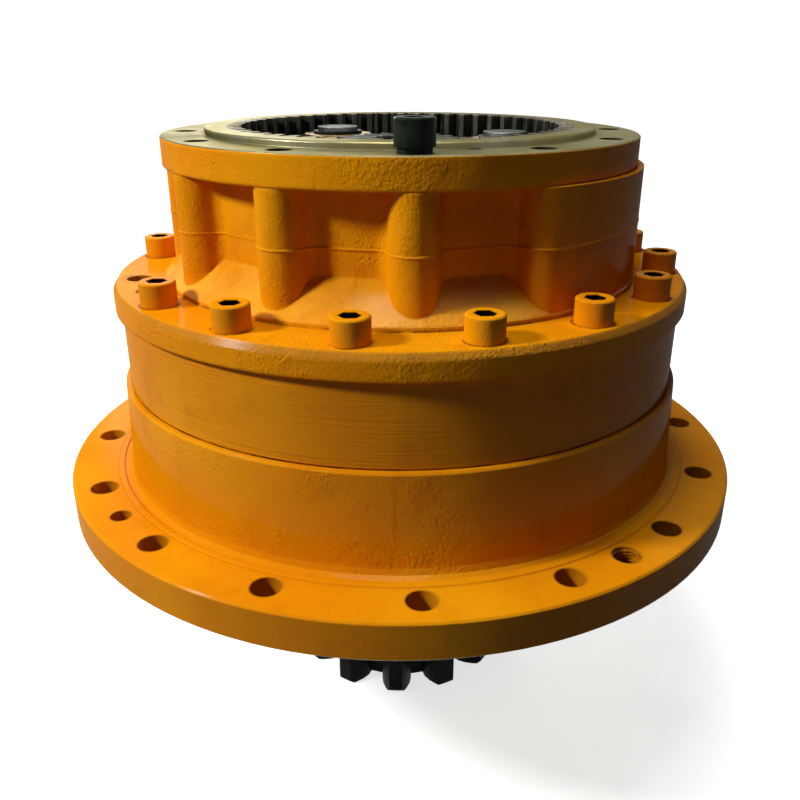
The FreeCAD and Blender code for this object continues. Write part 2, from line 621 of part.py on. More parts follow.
def oil_seal():
    low = COVER_Z + SEAL_SEAT_T
    high = NOSE_BOTTOM_Z - 2.0
    lip_r = SEAL_JOURNAL_R + RUN_FIT
    step = SEAL_STEP
    return turned([(SEAL_LIP_R, low), (SEAL_OUT_R, low), (SEAL_OUT_R, high), (lip_r + step, high),
                   (lip_r + step, high - step), (lip_r, high - 2 * step), (lip_r, high - 3 * step),
                   (SEAL_LIP_R, high - 3 * step)])


# Radius of a bearing's outer (side 1) or inner (side -1) track at height z
def track_radius(mean_r, roller_r, z_range, way, side, z):
    half = math.atan(roller_r * math.sin(ROLLER_TILT) / mean_r)
    slope = math.tan(ROLLER_TILT + side * half)
    middle_r = mean_r + side * roller_r * (math.cos(ROLLER_TILT) + math.sin(ROLLER_TILT) * slope)
    return middle_r + slope * way * (z - sum(z_range) / 2.0)


def bearing_cup(mean_r, roller_r, cup_r, z_range, way):
    low, high = z_range
    return turned([(track_radius(mean_r, roller_r, z_range, way, 1, low), low), (cup_r, low), (cup_r, high),
                   (track_radius(mean_r, roller_r, z_range, way, 1, high), high)])


def bearing_cone(mean_r, roller_r, bore_r, z_range, way):
    low, high = z_range
    return turned([(bore_r, low), (track_radius(mean_r, roller_r, z_range, way, -1, low), low),
                   (track_radius(mean_r, roller_r, z_range, way, -1, high), high), (bore_r, high)])


# As many tapered rollers as fit round the shaft with a cage bar between them
def bearing_rollers(mean_r, roller_r, length, z_range, way):
    count = int(math.pi * mean_r / (1.15 * roller_r))
    grow = way * roller_r * math.sin(ROLLER_TILT) / mean_r * length / 2.0
    body_r = roller_r - RUN_FIT
    rollers = []
    for k in range(count):
        roller = Part.makeCone(body_r - grow, body_r + grow, length, FreeCAD.Vector(0, 0, -length / 2.0))
        roller.rotate(FreeCAD.Vector(0, 0, 0), FreeCAD.Vector(0, 1, 0), way * math.degrees(ROLLER_TILT))
        roller.translate(FreeCAD.Vector(mean_r, 0, sum(z_range) / 2.0))
        roller.rotate(FreeCAD.Vector(0, 0, 0), FreeCAD.Vector(0, 0, 1), 360.0 * k / count)
        rollers.append(roller)
    return Part.makeCompound(rollers)


# Output shaft with its pinion, bearing seats, spline and tapped end
def pinion_teeth():
    width = PINION_MODULE * (math.pi / 2.0 + 2.0 * PINION_SHIFT * math.tan(PRESSURE_ANGLE))
    teeth = toothed(PINION_TEETH, PINION_PITCH_R, PINION_ROOT_R, PINION_TIP_R, width,
                    math.radians(PINION_FIRST_AT - 90.0), PINION_LOW_Z, PINION_TOP_Z, 4)
    edge = PINION_TIP_R + 1.0
    cut = PINION_CHAMFER + 1.0
    return teeth.common(turned([(0, PINION_LOW_Z), (edge - cut, PINION_LOW_Z), (edge, PINION_LOW_Z + cut),
                                (edge, PINION_TOP_Z - cut), (edge - cut, PINION_TOP_Z), (0, PINION_TOP_Z)]))


def output_pinion_shaft():
    collar_z = COVER_Z - COLLAR_GAP
    body = turned([(0, PINION_TOP_Z), (PINION_PITCH_R, PINION_TOP_Z), (PINION_PITCH_R, collar_z),
                   (SEAL_JOURNAL_R, collar_z), (SEAL_JOURNAL_R, NOSE_BOTTOM_Z), (LOWER_BORE_R, NOSE_BOTTOM_Z),
                   (LOWER_BORE_R, LOWER_BEARING_Z[1]), (UPPER_BORE_R, LOWER_BEARING_Z[1]), (UPPER_BORE_R, HUB_2_Z),
                   (0, HUB_2_Z)])
    body = body.fuse(pinion_teeth()).fuse(spline(SHAFT_SPLINE_TEETH, SHAFT_SPLINE_R, HUB_2_Z, SHAFT_END_Z))
    return body.cut(holes(COVER_SCREW_R, KEEPER_PCD_R, keeper_angles(), SHAFT_END_Z - KEEPER_HOLE_IN, SHAFT_END_Z))


def bearing_spacer():
    return tube(UPPER_BORE_R, SPACER_R, LOWER_BEARING_Z[1], UPPER_BEARING_Z[0])


# Plate that clamps the second carrier on the end of the shaft
def keeper_plate():
    top = PLATE_2_TOP_Z
    body = cylinder(KEEPER_R, KEEPER_Z, top).fuse(cylinder(KEEPER_BOSS_R, SHAFT_END_Z, KEEPER_Z))
    body = body.cut(holes(COVER_SCREW_R, KEEPER_PCD_R, keeper_angles(), SHAFT_END_Z, top))
    return body.cut(holes(COVER_HEAD_R, KEEPER_PCD_R, keeper_angles(), top - COVER_HEAD_H, top))


def keeper_screws():
    return Part.makeCompound([
        cap_screw(spot(KEEPER_PCD_R, a), COVER_SCREW_R, SHAFT_END_Z - KEEPER_SCREW_IN, COVER_HEAD_R,
                  PLATE_2_TOP_Z - COVER_HEAD_H, COVER_HEAD_H, COVER_SOCKET_R, COVER_SOCKET_DEPTH)
        for a in keeper_angles()])


# Second carrier: two plates joined by three bridges between the planets
def second_stage_carrier():
    body = cylinder(HUB_2_R, HUB_2_Z, PLATE_2_LOW[0]).fuse(cylinder(PLATE_2_R, *PLATE_2_LOW))
    body = body.fuse(cylinder(PLATE_2_R, *PLATE_2_HIGH))
    for k in range(PLANETS):
        at = planet_centre(FIRST_PLANET_2_AT + 180.0 / PLANETS, BRIDGE_AT_R, k)
        body = body.fuse(cylinder(BRIDGE_R, PLATE_2_LOW[1], PLATE_2_HIGH[0], at))
    body = body.removeSplitter()
    body = body.cut(cylinder(OPENING_2_R, *PLATE_2_HIGH))
    body = body.cut(cylinder(KEEPER_R, KEEPER_Z, PLATE_2_TOP_Z))
    body = body.cut(spline(SHAFT_SPLINE_TEETH, SHAFT_SPLINE_R, HUB_2_Z, KEEPER_Z))
    body = body.cut(pins_2(PIN_2_R, PLATE_2_LOW[0], PLATE_2_HIGH[1]))
    return body.cut(pin_lock_pins())


def pin_lock_pins():
    pins = []
    for k in range(PLANETS):
        start = planet_centre(FIRST_PLANET_2_AT, PIN_LOCK_FROM_R, k)
        way = FreeCAD.Vector(start.x, start.y, 0)
        start.z = PIN_LOCK_Z
        pins.append(Part.makeCylinder(PIN_LOCK_R, PIN_LOCK_TO_R - PIN_LOCK_FROM_R, start, way))
    return Part.makeCompound(pins)


def second_stage_pins():
    return pins_2(PIN_2_R, PLATE_2_LOW[0], PLATE_2_HIGH[1]).cut(pin_lock_pins())


def second_stage_washers():
    rings = []
    for k in range(PLANETS):
        at = planet_centre(FIRST_PLANET_2_AT, CENTRES_2, k)
        rings.append(tube(PIN_2_R, WASHER_2_R, PLATE_2_LOW[1], PLATE_2_LOW[1] + WASHER_2_T, at))
        rings.append(tube(PIN_2_R, WASHER_2_R, PLATE_2_HIGH[0] - WASHER_2_T, PLATE_2_HIGH[0], at))
    return Part.makeCompound(rings)


# Planet gears and the bushes pressed into them
def second_stage_planet(k):
    phase = planet_phase(planet_angle(FIRST_PLANET_2_AT, k), RING_TEETH_2, PLANET_TEETH_2)
    gear = external_gear(MODULE_2, PLANET_TEETH_2, phase, *PLANET_2_Z).cut(cylinder(BUSH_2_R, *PLANET_2_Z))
    gear.translate(planet_centre(FIRST_PLANET_2_AT, CENTRES_2, k))
    return gear


def first_stage_planet(k):
    phase = planet_phase(planet_angle(FIRST_PLANET_1_AT, k), RING_TEETH_1, PLANET_TEETH_1)
    gear = external_gear(MODULE_1, PLANET_TEETH_1, phase, *PLANET_1_Z).cut(cylinder(BUSH_1_R, *PLANET_1_Z))
    gear.translate(planet_centre(FIRST_PLANET_1_AT, CENTRES_1, k))
    return gear


def second_stage_bush(k):
    return tube(PIN_2_R + RUN_FIT, BUSH_2_R, *PLANET_2_Z, planet_centre(FIRST_PLANET_2_AT, CENTRES_2, k))


def first_stage_bush(k):
    return tube(PIN_1_R + RUN_FIT, BUSH_1_R, *PLANET_1_Z, planet_centre(FIRST_PLANET_1_AT, CENTRES_1, k))


# Second sun: teeth below, a shaft up to the first carrier's spline
def second_stage_sun_gear():
    phase = sun_phase(FIRST_PLANET_2_AT, SUN_TEETH_2, RING_TEETH_2, PLANET_TEETH_2)
    gear = external_gear(MODULE_2, SUN_TEETH_2, phase, *SUN_2_Z)
    gear = gear.fuse(cylinder(SUN_SHAFT_R, SUN_2_Z[1], HUB_1_Z))
    return gear.fuse(spline(SUN_SPLINE_TEETH, SUN_SPLINE_R, HUB_1_Z, SUN_SHAFT_END_Z))


def second_sun_washer():
    return tube(SUN_WASHER_IN_R, SUN_WASHER_R, PLATE_2_TOP_Z, PLATE_2_TOP_Z + WASHER_2_T)


# First carrier: one plate and a splined hub on the second sun's shaft
def first_stage_carrier():
    body = cylinder(HUB_1_R, HUB_1_Z, PLATE_1[0]).fuse(cylinder(PLATE_1_R, *PLATE_1))
    body = body.cut(spline(SUN_SPLINE_TEETH, SUN_SPLINE_R, HUB_1_Z, PLATE_1[1]))
    return body.cut(pins_1(PIN_1_R, *PLATE_1))


def first_stage_pins():
    grooves = pins_1(CLIP_GROOVE_R, *CLIP_Z).cut(pins_1(CLIP_IN_R, *CLIP_Z))
    return pins_1(PIN_1_R, PLATE_1[0], PIN_1_END_Z).cut(grooves)


def first_stage_clips():
    return pins_1(CLIP_R, *CLIP_Z).cut(pins_1(CLIP_IN_R, *CLIP_Z))


def first_stage_washers():
    low = (PLATE_1[1], PLATE_1[1] + WASHER_1_LOW_T)
    high = (CLIP_Z[0] - WASHER_1_TOP_T, CLIP_Z[0])
    rings = pins_1(WASHER_1_R, *low).cut(pins_1(PIN_1_R, *low))
    return Part.makeCompound([rings, pins_1(WASHER_1_R, *high).cut(pins_1(PIN_1_R, *high))])


def sun_thrust_plate():
    return cylinder(THRUST_PLATE_R, PLATE_1[1], PLATE_1[1] + THRUST_PLATE_T)


# Input sun with the spline bore that takes the motor shaft
def first_stage_sun_gear():
    phase = sun_phase(FIRST_PLANET_1_AT, SUN_TEETH_1, RING_TEETH_1, PLANET_TEETH_1)
    gear = external_gear(MODULE_1, SUN_TEETH_1, phase, *SUN_1_Z)
    return gear.cut(spline(INPUT_SPLINE_TEETH, INPUT_SPLINE_R, *SUN_1_Z))


LOWER = (LOWER_MEAN_R, LOWER_ROLLER_R)
UPPER = (UPPER_MEAN_R, UPPER_ROLLER_R)

export(lower_housing(), "lower_housing")
export(drain_plug(), "drain_plug")
export(second_stage_ring_gear(), "second_stage_ring_gear")
export(upper_housing(), "upper_housing")
export(first_stage_ring_gear(), "first_stage_ring_gear")
export(ring_lock_pins(), "ring_lock_pins")
export(joint_seal(LOWER_TOP_Z - JOINT_SEAL_T), "lower_joint_seal")
export(joint_seal(MID_FLANGE_Z), "upper_joint_seal")
export(dowel_holes(LOWER_TOP_Z - DOWEL_DEPTH, MID_FLANGE_Z + DOWEL_DEPTH), "joint_dowels")
export(flange_cap_screws(), "flange_cap_screws")
export(motor_flange_screw(), "motor_flange_screw")
export(motor_flange_washer(), "motor_flange_washer")
export(bottom_cover(), "bottom_cover")
export(bottom_cover_screws(), "bottom_cover_screws")
export(oil_seal(), "oil_seal")
export(bearing_cup(*LOWER, LOWER_CUP_R, LOWER_BEARING_Z, -1), "lower_bearing_cup")
export(bearing_cone(*LOWER, LOWER_BORE_R, LOWER_BEARING_Z, -1), "lower_bearing_cone")
export(bearing_rollers(*LOWER, LOWER_ROLLER_L, LOWER_BEARING_Z, -1), "lower_bearing_rollers")
export(bearing_cup(*UPPER, UPPER_CUP_R, UPPER_BEARING_Z, 1), "upper_bearing_cup")
export(bearing_cone(*UPPER, UPPER_BORE_R, UPPER_BEARING_Z, 1), "upper_bearing_cone")
export(bearing_rollers(*UPPER, UPPER_ROLLER_L, UPPER_BEARING_Z, 1), "upper_bearing_rollers")
export(output_pinion_shaft(), "output_pinion_shaft")
export(bearing_spacer(), "bearing_spacer")
export(keeper_plate(), "keeper_plate")
export(keeper_screws(), "keeper_screws")
export(second_stage_carrier(), "second_stage_carrier")
export(second_stage_pins(), "second_stage_pins")
export(pin_lock_pins(), "pin_lock_pins")
export(second_stage_washers(), "second_stage_washers")
export(second_stage_sun_gear(), "second_stage_sun_gear")
export(second_sun_washer(), "second_sun_washer")
export(first_stage_carrier(), "first_stage_carrier")
export(first_stage_pins(), "first_stage_pins")
export(first_stage_washers(), "first_stage_washers")
export(first_stage_clips(), "first_stage_clips")
export(sun_thrust_plate(), "sun_thrust_plate")
export(first_stage_sun_gear(), "first_stage_sun_gear")
for place in range(PLANETS):
    label = "_" + str(place + 1)
    export(second_stage_planet(place), "second_stage_planet" + label)
    export(second_stage_bush(place), "second_stage_bush" + label)
    export(first_stage_planet(place), "first_stage_planet" + label)
    export(first_stage_bush(place), "first_stage_bush" + label)
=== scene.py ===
# %% [markdown]
# # A swing gearbox, dressed over its solids
# The solids of the gearbox come in as a fixed frame: each named part has its
# true shape, place and size. This file gives every part the finish that the
# real one has, adds small pieces that only the eye needs, and lights it.
# All lengths are in metres, the output axis is Z and Z = 0 is the underside
# of the mounting flange.

# %% Load the frame
import bpy
import bmesh
import math
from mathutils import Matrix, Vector, noise


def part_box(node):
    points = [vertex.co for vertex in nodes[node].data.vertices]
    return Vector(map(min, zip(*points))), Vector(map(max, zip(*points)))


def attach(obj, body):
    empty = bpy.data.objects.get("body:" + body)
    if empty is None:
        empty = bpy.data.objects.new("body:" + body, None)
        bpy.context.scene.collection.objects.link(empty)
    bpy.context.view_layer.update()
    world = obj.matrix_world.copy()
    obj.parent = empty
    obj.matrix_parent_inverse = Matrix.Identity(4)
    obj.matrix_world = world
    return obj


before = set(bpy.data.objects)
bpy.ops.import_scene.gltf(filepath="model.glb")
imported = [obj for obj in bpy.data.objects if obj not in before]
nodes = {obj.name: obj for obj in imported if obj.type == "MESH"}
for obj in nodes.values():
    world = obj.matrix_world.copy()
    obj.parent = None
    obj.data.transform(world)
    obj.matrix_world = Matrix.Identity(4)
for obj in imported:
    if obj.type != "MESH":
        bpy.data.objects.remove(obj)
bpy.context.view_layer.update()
print("parts in the frame:", len(nodes))

# %% [markdown]
# ## Measures that several steps share
# Paint ends where a face was machined, and dirt sits where two parts meet,
# so the finishes need the heights and radii of those places. Typed numbers
# would be wrong as soon as a solid changed. So they are read from the boxes
# of the solids where a box shows them, and only the rest is typed, such as
# how far a row of holes stands in from an edge.

# %% Heights and radii read from the solids
def height(node, top):
    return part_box(node)[1 if top else 0][2]


def radius(node):
    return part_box(node)[1][0]


MOUNT_HOLES_IN = 0.024
SCREWS_IN = 0.016
MOTOR_HOLES_OUT = 0.016
SCREW_HEAD_H = 0.018
FLANGE_TOP = 0.030
MOUNT_BOLT_R = radius("lower_housing") - MOUNT_HOLES_IN
SCREW_BOLT_R = radius("second_stage_ring_gear") - SCREWS_IN
MOTOR_BOLT_R = radius("first_stage_ring_gear") + MOTOR_HOLES_OUT
LOWER_TOP = height("lower_housing", True)
RING_TOP = height("second_stage_ring_gear", True)
SCREW_TOP = height("flange_cap_screws", True)
MID_TOP = SCREW_TOP - SCREW_HEAD_H
MOTOR_FACE = height("upper_housing", True)
print("joints at", round(LOWER_TOP, 3), round(RING_TOP, 3), "motor face at", round(MOTOR_FACE, 3))
print("bolt circles", round(MOUNT_BOLT_R, 3), round(SCREW_BOLT_R, 3), round(MOTOR_BOLT_R, 3))

# %% [markdown]
# ## Writing shader maths as ordinary sums
# A material is a net of small boxes, and sums written with boxes are hard to
# read. This class wraps one socket, so that `1 - mask * 0.5` adds the Math
# boxes by itself. Colours never go through it, because a Math box turns a
# colour grey: they are blended by a Mix box.

# %% A socket that can be used in a sum
class Amount:
    def __init__(self, net, socket):
        self.net = net
        self.socket = socket

    def maths(self, operation, first, second):
        return self.net.add("ShaderNodeMath", {"operation": operation}, {0: first, 1: second})

    def __add__(self, other):
        return self.maths("ADD", self, other)

    def __sub__(self, other):
        return self.maths("SUBTRACT", self, other)

    def __rsub__(self, other):
        return self.maths("SUBTRACT", other, self)

    def __mul__(self, other):
        return self.maths("MULTIPLY", self, other)

    def __pow__(self, other):
        return self.maths("POWER", self, other)

    def __gt__(self, other):
        return self.maths("GREATER_THAN", self, other)

    def __lt__(self, other):
        return self.maths("LESS_THAN", self, other)

    __radd__ = __add__
    __rmul__ = __mul__

    def of(self, operation, other=0.0):
        return self.maths(operation, self, other)

    def step(self, low, high):
        return self.net.add("ShaderNodeMapRange", {"interpolation_type": "SMOOTHSTEP"},
                            {"Value": self, "From Min": low, "From Max": high})


# %% [markdown]
# ## One net, for materials and for the world
# Everything that isn't a sum is added by `add`: it takes the kind of node,
# its settings, and what goes into its sockets, which is a number, a colour
# or another node's value. The world has a net as well, so this class knows
# nothing of surfaces and serves both.

# %% A net of nodes
class Net:
    def __init__(self, tree):
        self.tree = tree

    def add(self, kind, settings, inputs, output=0):
        node = self.tree.nodes.new(kind)
        for key, value in settings.items():
            setattr(node, key, value)
        for key, value in inputs.items():
            self.feed(node.inputs[key], value)
        return Amount(self, node.outputs[output])

    def feed(self, socket, value):
        if isinstance(value, Amount):
            self.tree.links.new(value.socket, socket)
        else:
            socket.default_value = value

    def blend(self, factor, first, second):
        return self.add("ShaderNodeMix", {"data_type": "RGBA"}, {0: factor, 6: first, 7: second}, 2)

    def mix(self, factor, first, second):
        return self.add("ShaderNodeMix", {"data_type": "FLOAT"}, {0: factor, 2: first, 3: second})


# %% [markdown]
# ## One finish, one material
# A finish is a net with a shader in it. An image wrapped round the part
# could carry its colours, but it would need each winding casting laid flat.
# So everything is noise and spots in the object's own space, and stays in
# place from every side. A finish knows its height `z` and its distance `r`
# from the axis. Real edges are never quite sharp, so the normal goes through
# a bevel node. Where that bends it away from the true normal is an edge.

# %% A material under construction
class Finish(Net):
    def __init__(self, name, roughness=0.4, metallic=0.0, edge=0.0012):
        self.material = bpy.data.materials.new(name)
        self.material.use_nodes = True
        super().__init__(self.material.node_tree)
        self.shader = self.tree.nodes["Principled BSDF"]
        self.set("Roughness", roughness)
        self.set("Metallic", metallic)
        self.place = self.add("ShaderNodeTexCoord", {}, {}, "Object")
        split = self.add("ShaderNodeSeparateXYZ", {}, {0: self.place}).socket.node
        self.x, self.y, self.z = [Amount(self, split.outputs[i]) for i in range(3)]
        self.r = (self.x * self.x + self.y * self.y) ** 0.5
        self.soft_normal = self.add("ShaderNodeBevel", {"samples": 4}, {"Radius": edge})
        self.true_normal = self.add("ShaderNodeNewGeometry", {}, {}, "True Normal")

    def set(self, socket, value):
        self.feed(self.shader.inputs[socket], value)

    def noise(self, scale, detail=3.0, roughness=0.5, stretch=None, distortion=0.0):
        at = self.place
        if stretch is not None:
            at = self.add("ShaderNodeVectorMath", {"operation": "MULTIPLY"}, {0: at, 1: stretch})
        return self.add("ShaderNodeTexNoise", {}, {"Vector": at, "Scale": scale, "Detail": detail,
                                                   "Roughness": roughness, "Distortion": distortion})

    def spots(self, scale):
        return self.add("ShaderNodeTexVoronoi", {}, {"Vector": self.place, "Scale": scale})

    def facing_up(self):
        return self.add("ShaderNodeSeparateXYZ", {}, {0: self.true_normal}, 2)

    def edges(self):
        along = self.add("ShaderNodeVectorMath", {"operation": "DOT_PRODUCT"},
                         {0: self.soft_normal, 1: self.true_normal}, "Value")
        return (1.0 - along).step(0.02, 0.25)

    def relief(self, surface, distance):
        self.set("Normal", self.add("ShaderNodeBump", {}, {"Height": surface, "Distance": distance,
                                                           "Normal": self.soft_normal}))


# %% Putting a finish on parts
def wear(finish_material, *names):
    for name in names:
        for material_slot in nodes[name].material_slots:
            material_slot.material = finish_material
    print(finish_material.name, "on", len(names), "parts")


# %% [markdown]
# ## The orange paint
# The housings are rough castings under thick glossy enamel, sprayed over the
# finished gearbox, so one paint covers castings, ring gear and screw heads.
# Close up it is never one colour: it is yellower where it is thick, redder
# and darker where it is thin or oily, and dirt sits in the joint lines.
# A flat orange with a little noise would look like plastic, so each of these
# is a layer of its own, laid over the one before by a mask.

# %% Colours of the paint and of what lies bare beside it
PAINT = (0.72, 0.238, 0.002, 1.0)
PAINT_YELLOW = (0.78, 0.300, 0.003, 1.0)
PAINT_RED = (0.48, 0.125, 0.002, 1.0)
# paler paint for edges: worn paint, and a painted highlight where edges catch the light
PAINT_WORN_AND_LIT = (0.62, 0.32, 0.055, 1.0)
# a painted highlight: pale paint on the skirt's upward slopes, where the gloss catches the lamp
SKIRT_PAINTED_HIGHLIGHT = (0.88, 0.42, 0.030, 1.0)
# painted shade: a darker, duller paint for the flange's sloping chamfer
CHAMFER_PAINTED_SHADE = (0.34, 0.145, 0.020, 1.0)
# dirt, and painted shade where it is laid in creases and holes
GRIME_AND_SHADE = (0.060, 0.024, 0.006, 1.0)
BARE_STEEL = (0.29, 0.28, 0.18, 1.0)
OILY_STEEL = (0.24, 0.21, 0.09, 1.0)
CAST_DARK = (0.035, 0.030, 0.024, 1.0)
# nearly black for sockets: painted shade deep in a socket, and in the painted screws also the bare steel
# that the spray didn't reach
SOCKET_STEEL_AND_SHADE = (0.006, 0.005, 0.004, 1.0)


# %% Colour of the paint, layer by layer
def near(value, middle, width):
    return 1.0 - (value - middle).of("ABSOLUTE").step(width * 0.35, width)


def joint_dirt(f):
    joint = near(f.z, LOWER_TOP + 0.0004, 0.0011) + near(f.z, RING_TOP - 0.0003, 0.0008)
    return joint * f.mix(f.noise(50.0, 3.0).step(0.35, 0.60), 0.45, 0.95)


def paint_colour(f, runs, crack, pinholes):
    colour = f.blend(f.noise(7.0, 3.0).step(0.38, 0.66), PAINT, PAINT_YELLOW)
    colour = f.blend((1.0 - f.patches).step(0.50, 0.78) * 0.30, colour, PAINT_RED)
    colour = f.blend(runs * 0.25, colour, PAINT_RED)
    colour = f.blend(crack.of("MINIMUM", 1.0), colour, GRIME_AND_SHADE)
    colour = f.blend(pinholes * 0.7, colour, GRIME_AND_SHADE)
    # edges are painted paler: worn paint, and a painted highlight on them
    rim = f.edges() * f.noise(150.0, 3.0, 0.6).step(0.40, 0.62)
    return f.blend(rim * 0.45, colour, PAINT_WORN_AND_LIT)


# %% [markdown]
# ## Lumps and orange peel
# The casting shows through the paint as lumps a few millimetres wide, in
# patches, and the paint itself adds droplets and a fine orange peel. Moving
# the mesh for that would need millions of faces, so it is relief in the
# material: a height that only bends the normal.

# %% Relief of the paint
CASTING_RELIEF = 0.0009


def paint_surface(f, lumps, turned):
    coarse = f.noise(16.0, 3.0, 0.5).step(0.42, 0.62)
    grains = f.noise(420.0, 3.0, 0.6) * f.mix(coarse, 0.35, 1.0)
    casting = grains + f.noise(80.0, 3.0, 0.5) * f.mix(coarse, 0.30, 0.50)
    droplets = (1.0 - f.spots(290.0)).step(0.60, 1.0) * f.noise(20.0, 2.0).step(0.52, 0.66)
    peel = f.noise(520.0, 2.0)
    tool_lines = f.noise(9.0, 4.0, 0.7, stretch=(1.0, 1.0, 70.0))
    return (casting * 1.15 + droplets * 0.45) * lumps + peel * 0.10 + tool_lines * turned


def rough(f, surface):
    f.relief(surface, CASTING_RELIEF)
    return f.material


# %% Paint over a casting
def enamel(name, lumps=1.0, turned=0.0, drips=0.0, joints=0.0, edge=0.0012):
    f = Finish(name, edge=edge)
    f.patches = f.noise(26.0, 4.0, 0.6)
    runs = f.noise(60.0, 3.0, 0.5, stretch=(1.0, 1.0, 0.10))
    crack = joint_dirt(f) * joints
    pinholes = (1.0 - f.spots(150.0)).step(0.91, 0.97) * f.noise(34.0, 2.0).step(0.50, 0.60)
    f.colour = paint_colour(f, runs.step(0.56, 0.74) * drips, crack, pinholes)
    f.surface = paint_surface(f, lumps, turned) - pinholes * 0.6 - crack * 1.2
    f.surface = f.surface + runs.step(0.60, 0.72) * (drips * 0.30)
    f.set("Base Color", f.colour)
    f.set("Roughness", f.mix(f.patches, 0.26, 0.46))
    f.set("Specular IOR Level", 0.0)
    f.set("Coat Weight", 0.06)
    f.set("Coat Roughness", 0.12)
    return f


def plain_enamel(name, lumps):
    f = enamel(name, lumps=lumps)
    return rough(f, f.surface)


# %% [markdown]
# ## How far a point is from a hole
# Dirt and oil gather round holes, and shade is painted into some of them. A
# mask could be painted for each hole, but the holes stand on circles, so the
# distance can be worked out. For a full circle of holes the angle is folded
# into one step with a modulo. Twenty steps and a half are added first: a
# negative angle would fold the wrong way, and the half puts each hole in the
# middle of its step.

# %% Distance from a circle of holes, and from one hole
def from_hole(f, circle_r, step_degrees, start_degrees=0.0):
    step = math.radians(step_degrees)
    angle = f.y.of("ARCTAN2", f.x) + (20.5 * step - math.radians(start_degrees))
    sideways = (angle.of("MODULO", step) - step / 2.0) * f.r
    outwards = f.r - circle_r
    return (sideways * sideways + outwards * outwards) ** 0.5


def on_circle(circle_r, degrees):
    turned = math.radians(degrees)
    return circle_r * math.sin(turned), -circle_r * math.cos(turned)


def from_spot(f, circle_r, degrees):
    x, y = on_circle(circle_r, degrees)
    sideways = f.x - x
    outwards = f.y - y
    return (sideways * sideways + outwards * outwards) ** 0.5


# %% [markdown]
# ## Lower housing
# This casting is painted on the outside. Its underside was machined and is
# left bare, because it sits on the machine's frame, and its inside is raw.
# One part could be split in three to get three materials. One material with
# masks of height, radius and direction does it without touching the solid.

# %% Holes of the mounting flange
MOUNT_STEP = 22.5
JACKING_HOLE_AT = 1.5 * MOUNT_STEP
DOWEL_HOLE_AT = -2.5 * MOUNT_STEP
MOUNT_HOLE_R = 0.0110
JACKING_HOLE_R = 0.0105
DOWEL_HOLE_R = 0.0080


def holes_dirt_and_shade(f, flange):
    colour = f.colour
    for distance, hole_r, lip_width in (
            (from_hole(f, MOUNT_BOLT_R, MOUNT_STEP), MOUNT_HOLE_R, 0.0016),
            (from_spot(f, MOUNT_BOLT_R, JACKING_HOLE_AT), JACKING_HOLE_R, 0.0016),
            (from_spot(f, MOUNT_BOLT_R, DOWEL_HOLE_AT), DOWEL_HOLE_R, 0.0014)):
        # dirt round each hole's mouth
        lip = near(distance, hole_r + 0.0003, lip_width) * flange
        # painted shade on the walls inside each hole
        wall = (distance < hole_r + 0.00005) * (f.z < FLANGE_TOP - 0.0008) * flange
        colour = f.blend(lip * 0.25, colour, GRIME_AND_SHADE)
        colour = f.blend(wall * 0.10, colour, GRIME_AND_SHADE)
    return colour


# %% Paint with a bare machined underside
CAVITY_R = 0.203
LEDGE_R = 0.2567
UNDERSIDE_MARKS = 3300.0


def tool_marks(f, rate):
    return (f.r * rate).of("SINE") * 0.5 + 0.5


def lower_housing_finish():
    f = enamel("painted lower casting", lumps=1.0, drips=0.5)
    bare = (f.z < 0.0008) * (f.facing_up() < -0.5)
    inside = (f.r < CAVITY_R + 0.0005) * (f.z > 0.006)
    flange = (f.z < FLANGE_TOP + 0.0004) * (f.z > 0.0)
    shade = near(f.r, LEDGE_R + 0.0005, 0.0012) * near(f.z, FLANGE_TOP, 0.0020)
    metal = f.blend(tool_marks(f, UNDERSIDE_MARKS) * 0.25, BARE_STEEL, OILY_STEEL)
    colour = f.blend(shade * 0.35, holes_dirt_and_shade(f, flange), PAINT_RED)
    colour = f.blend(bare, colour, metal)
    f.set("Base Color", f.blend(inside, colour, CAST_DARK))
    f.set("Metallic", bare * 0.9)
    return rough(f, f.surface * (1.0 - flange * 0.55))


wear(lower_housing_finish(), "lower_housing")

# %% [markdown]
# ## Ring gear between the two joints
# The gear's teeth are cut in the same ring whose outside is the wall of the
# gearbox. That wall was turned before it was painted, so it is smoother than
# the castings and shows faint lines that run round it. They are noise that
# is squeezed seventy times along the axis. The teeth inside are bare.

# %% Smoother paint outside, steel teeth inside
def ring_wall_finish():
    f = enamel("painted turned wall", lumps=0.50, turned=1.1, drips=0.4, joints=1.0)
    inside = f.r < CAVITY_R
    f.set("Base Color", f.blend(inside, f.colour, BARE_STEEL))
    f.set("Metallic", inside)
    return rough(f, f.surface)


wear(ring_wall_finish(), "second_stage_ring_gear")

# %% [markdown]
# ## Upper housing
# This is the roughest casting, and the one that is seen first. The upward
# slopes of the skirt are painted pale, a painted highlight where the gloss
# catches the lamp, and the chamfer of the flange is painted darker and
# duller, painted shade on that sloping face. Dirt and painted shade sit round
# the screw heads, and shade is painted along the foot of the skirt and in the
# screw holes, where the empty hole shows it. The face for the motor is bare,
# turned and wet with oil.

# %% Screws, skirt and chamfer
SCREW_STEP = 22.5
SCREW_HEAD_R = 0.0135
SCREW_HOLE_R = 0.0100
SKIRT_R = 0.1995
MID_FLANGE_R = radius("upper_housing")
CHAMFER_IN = 0.0036


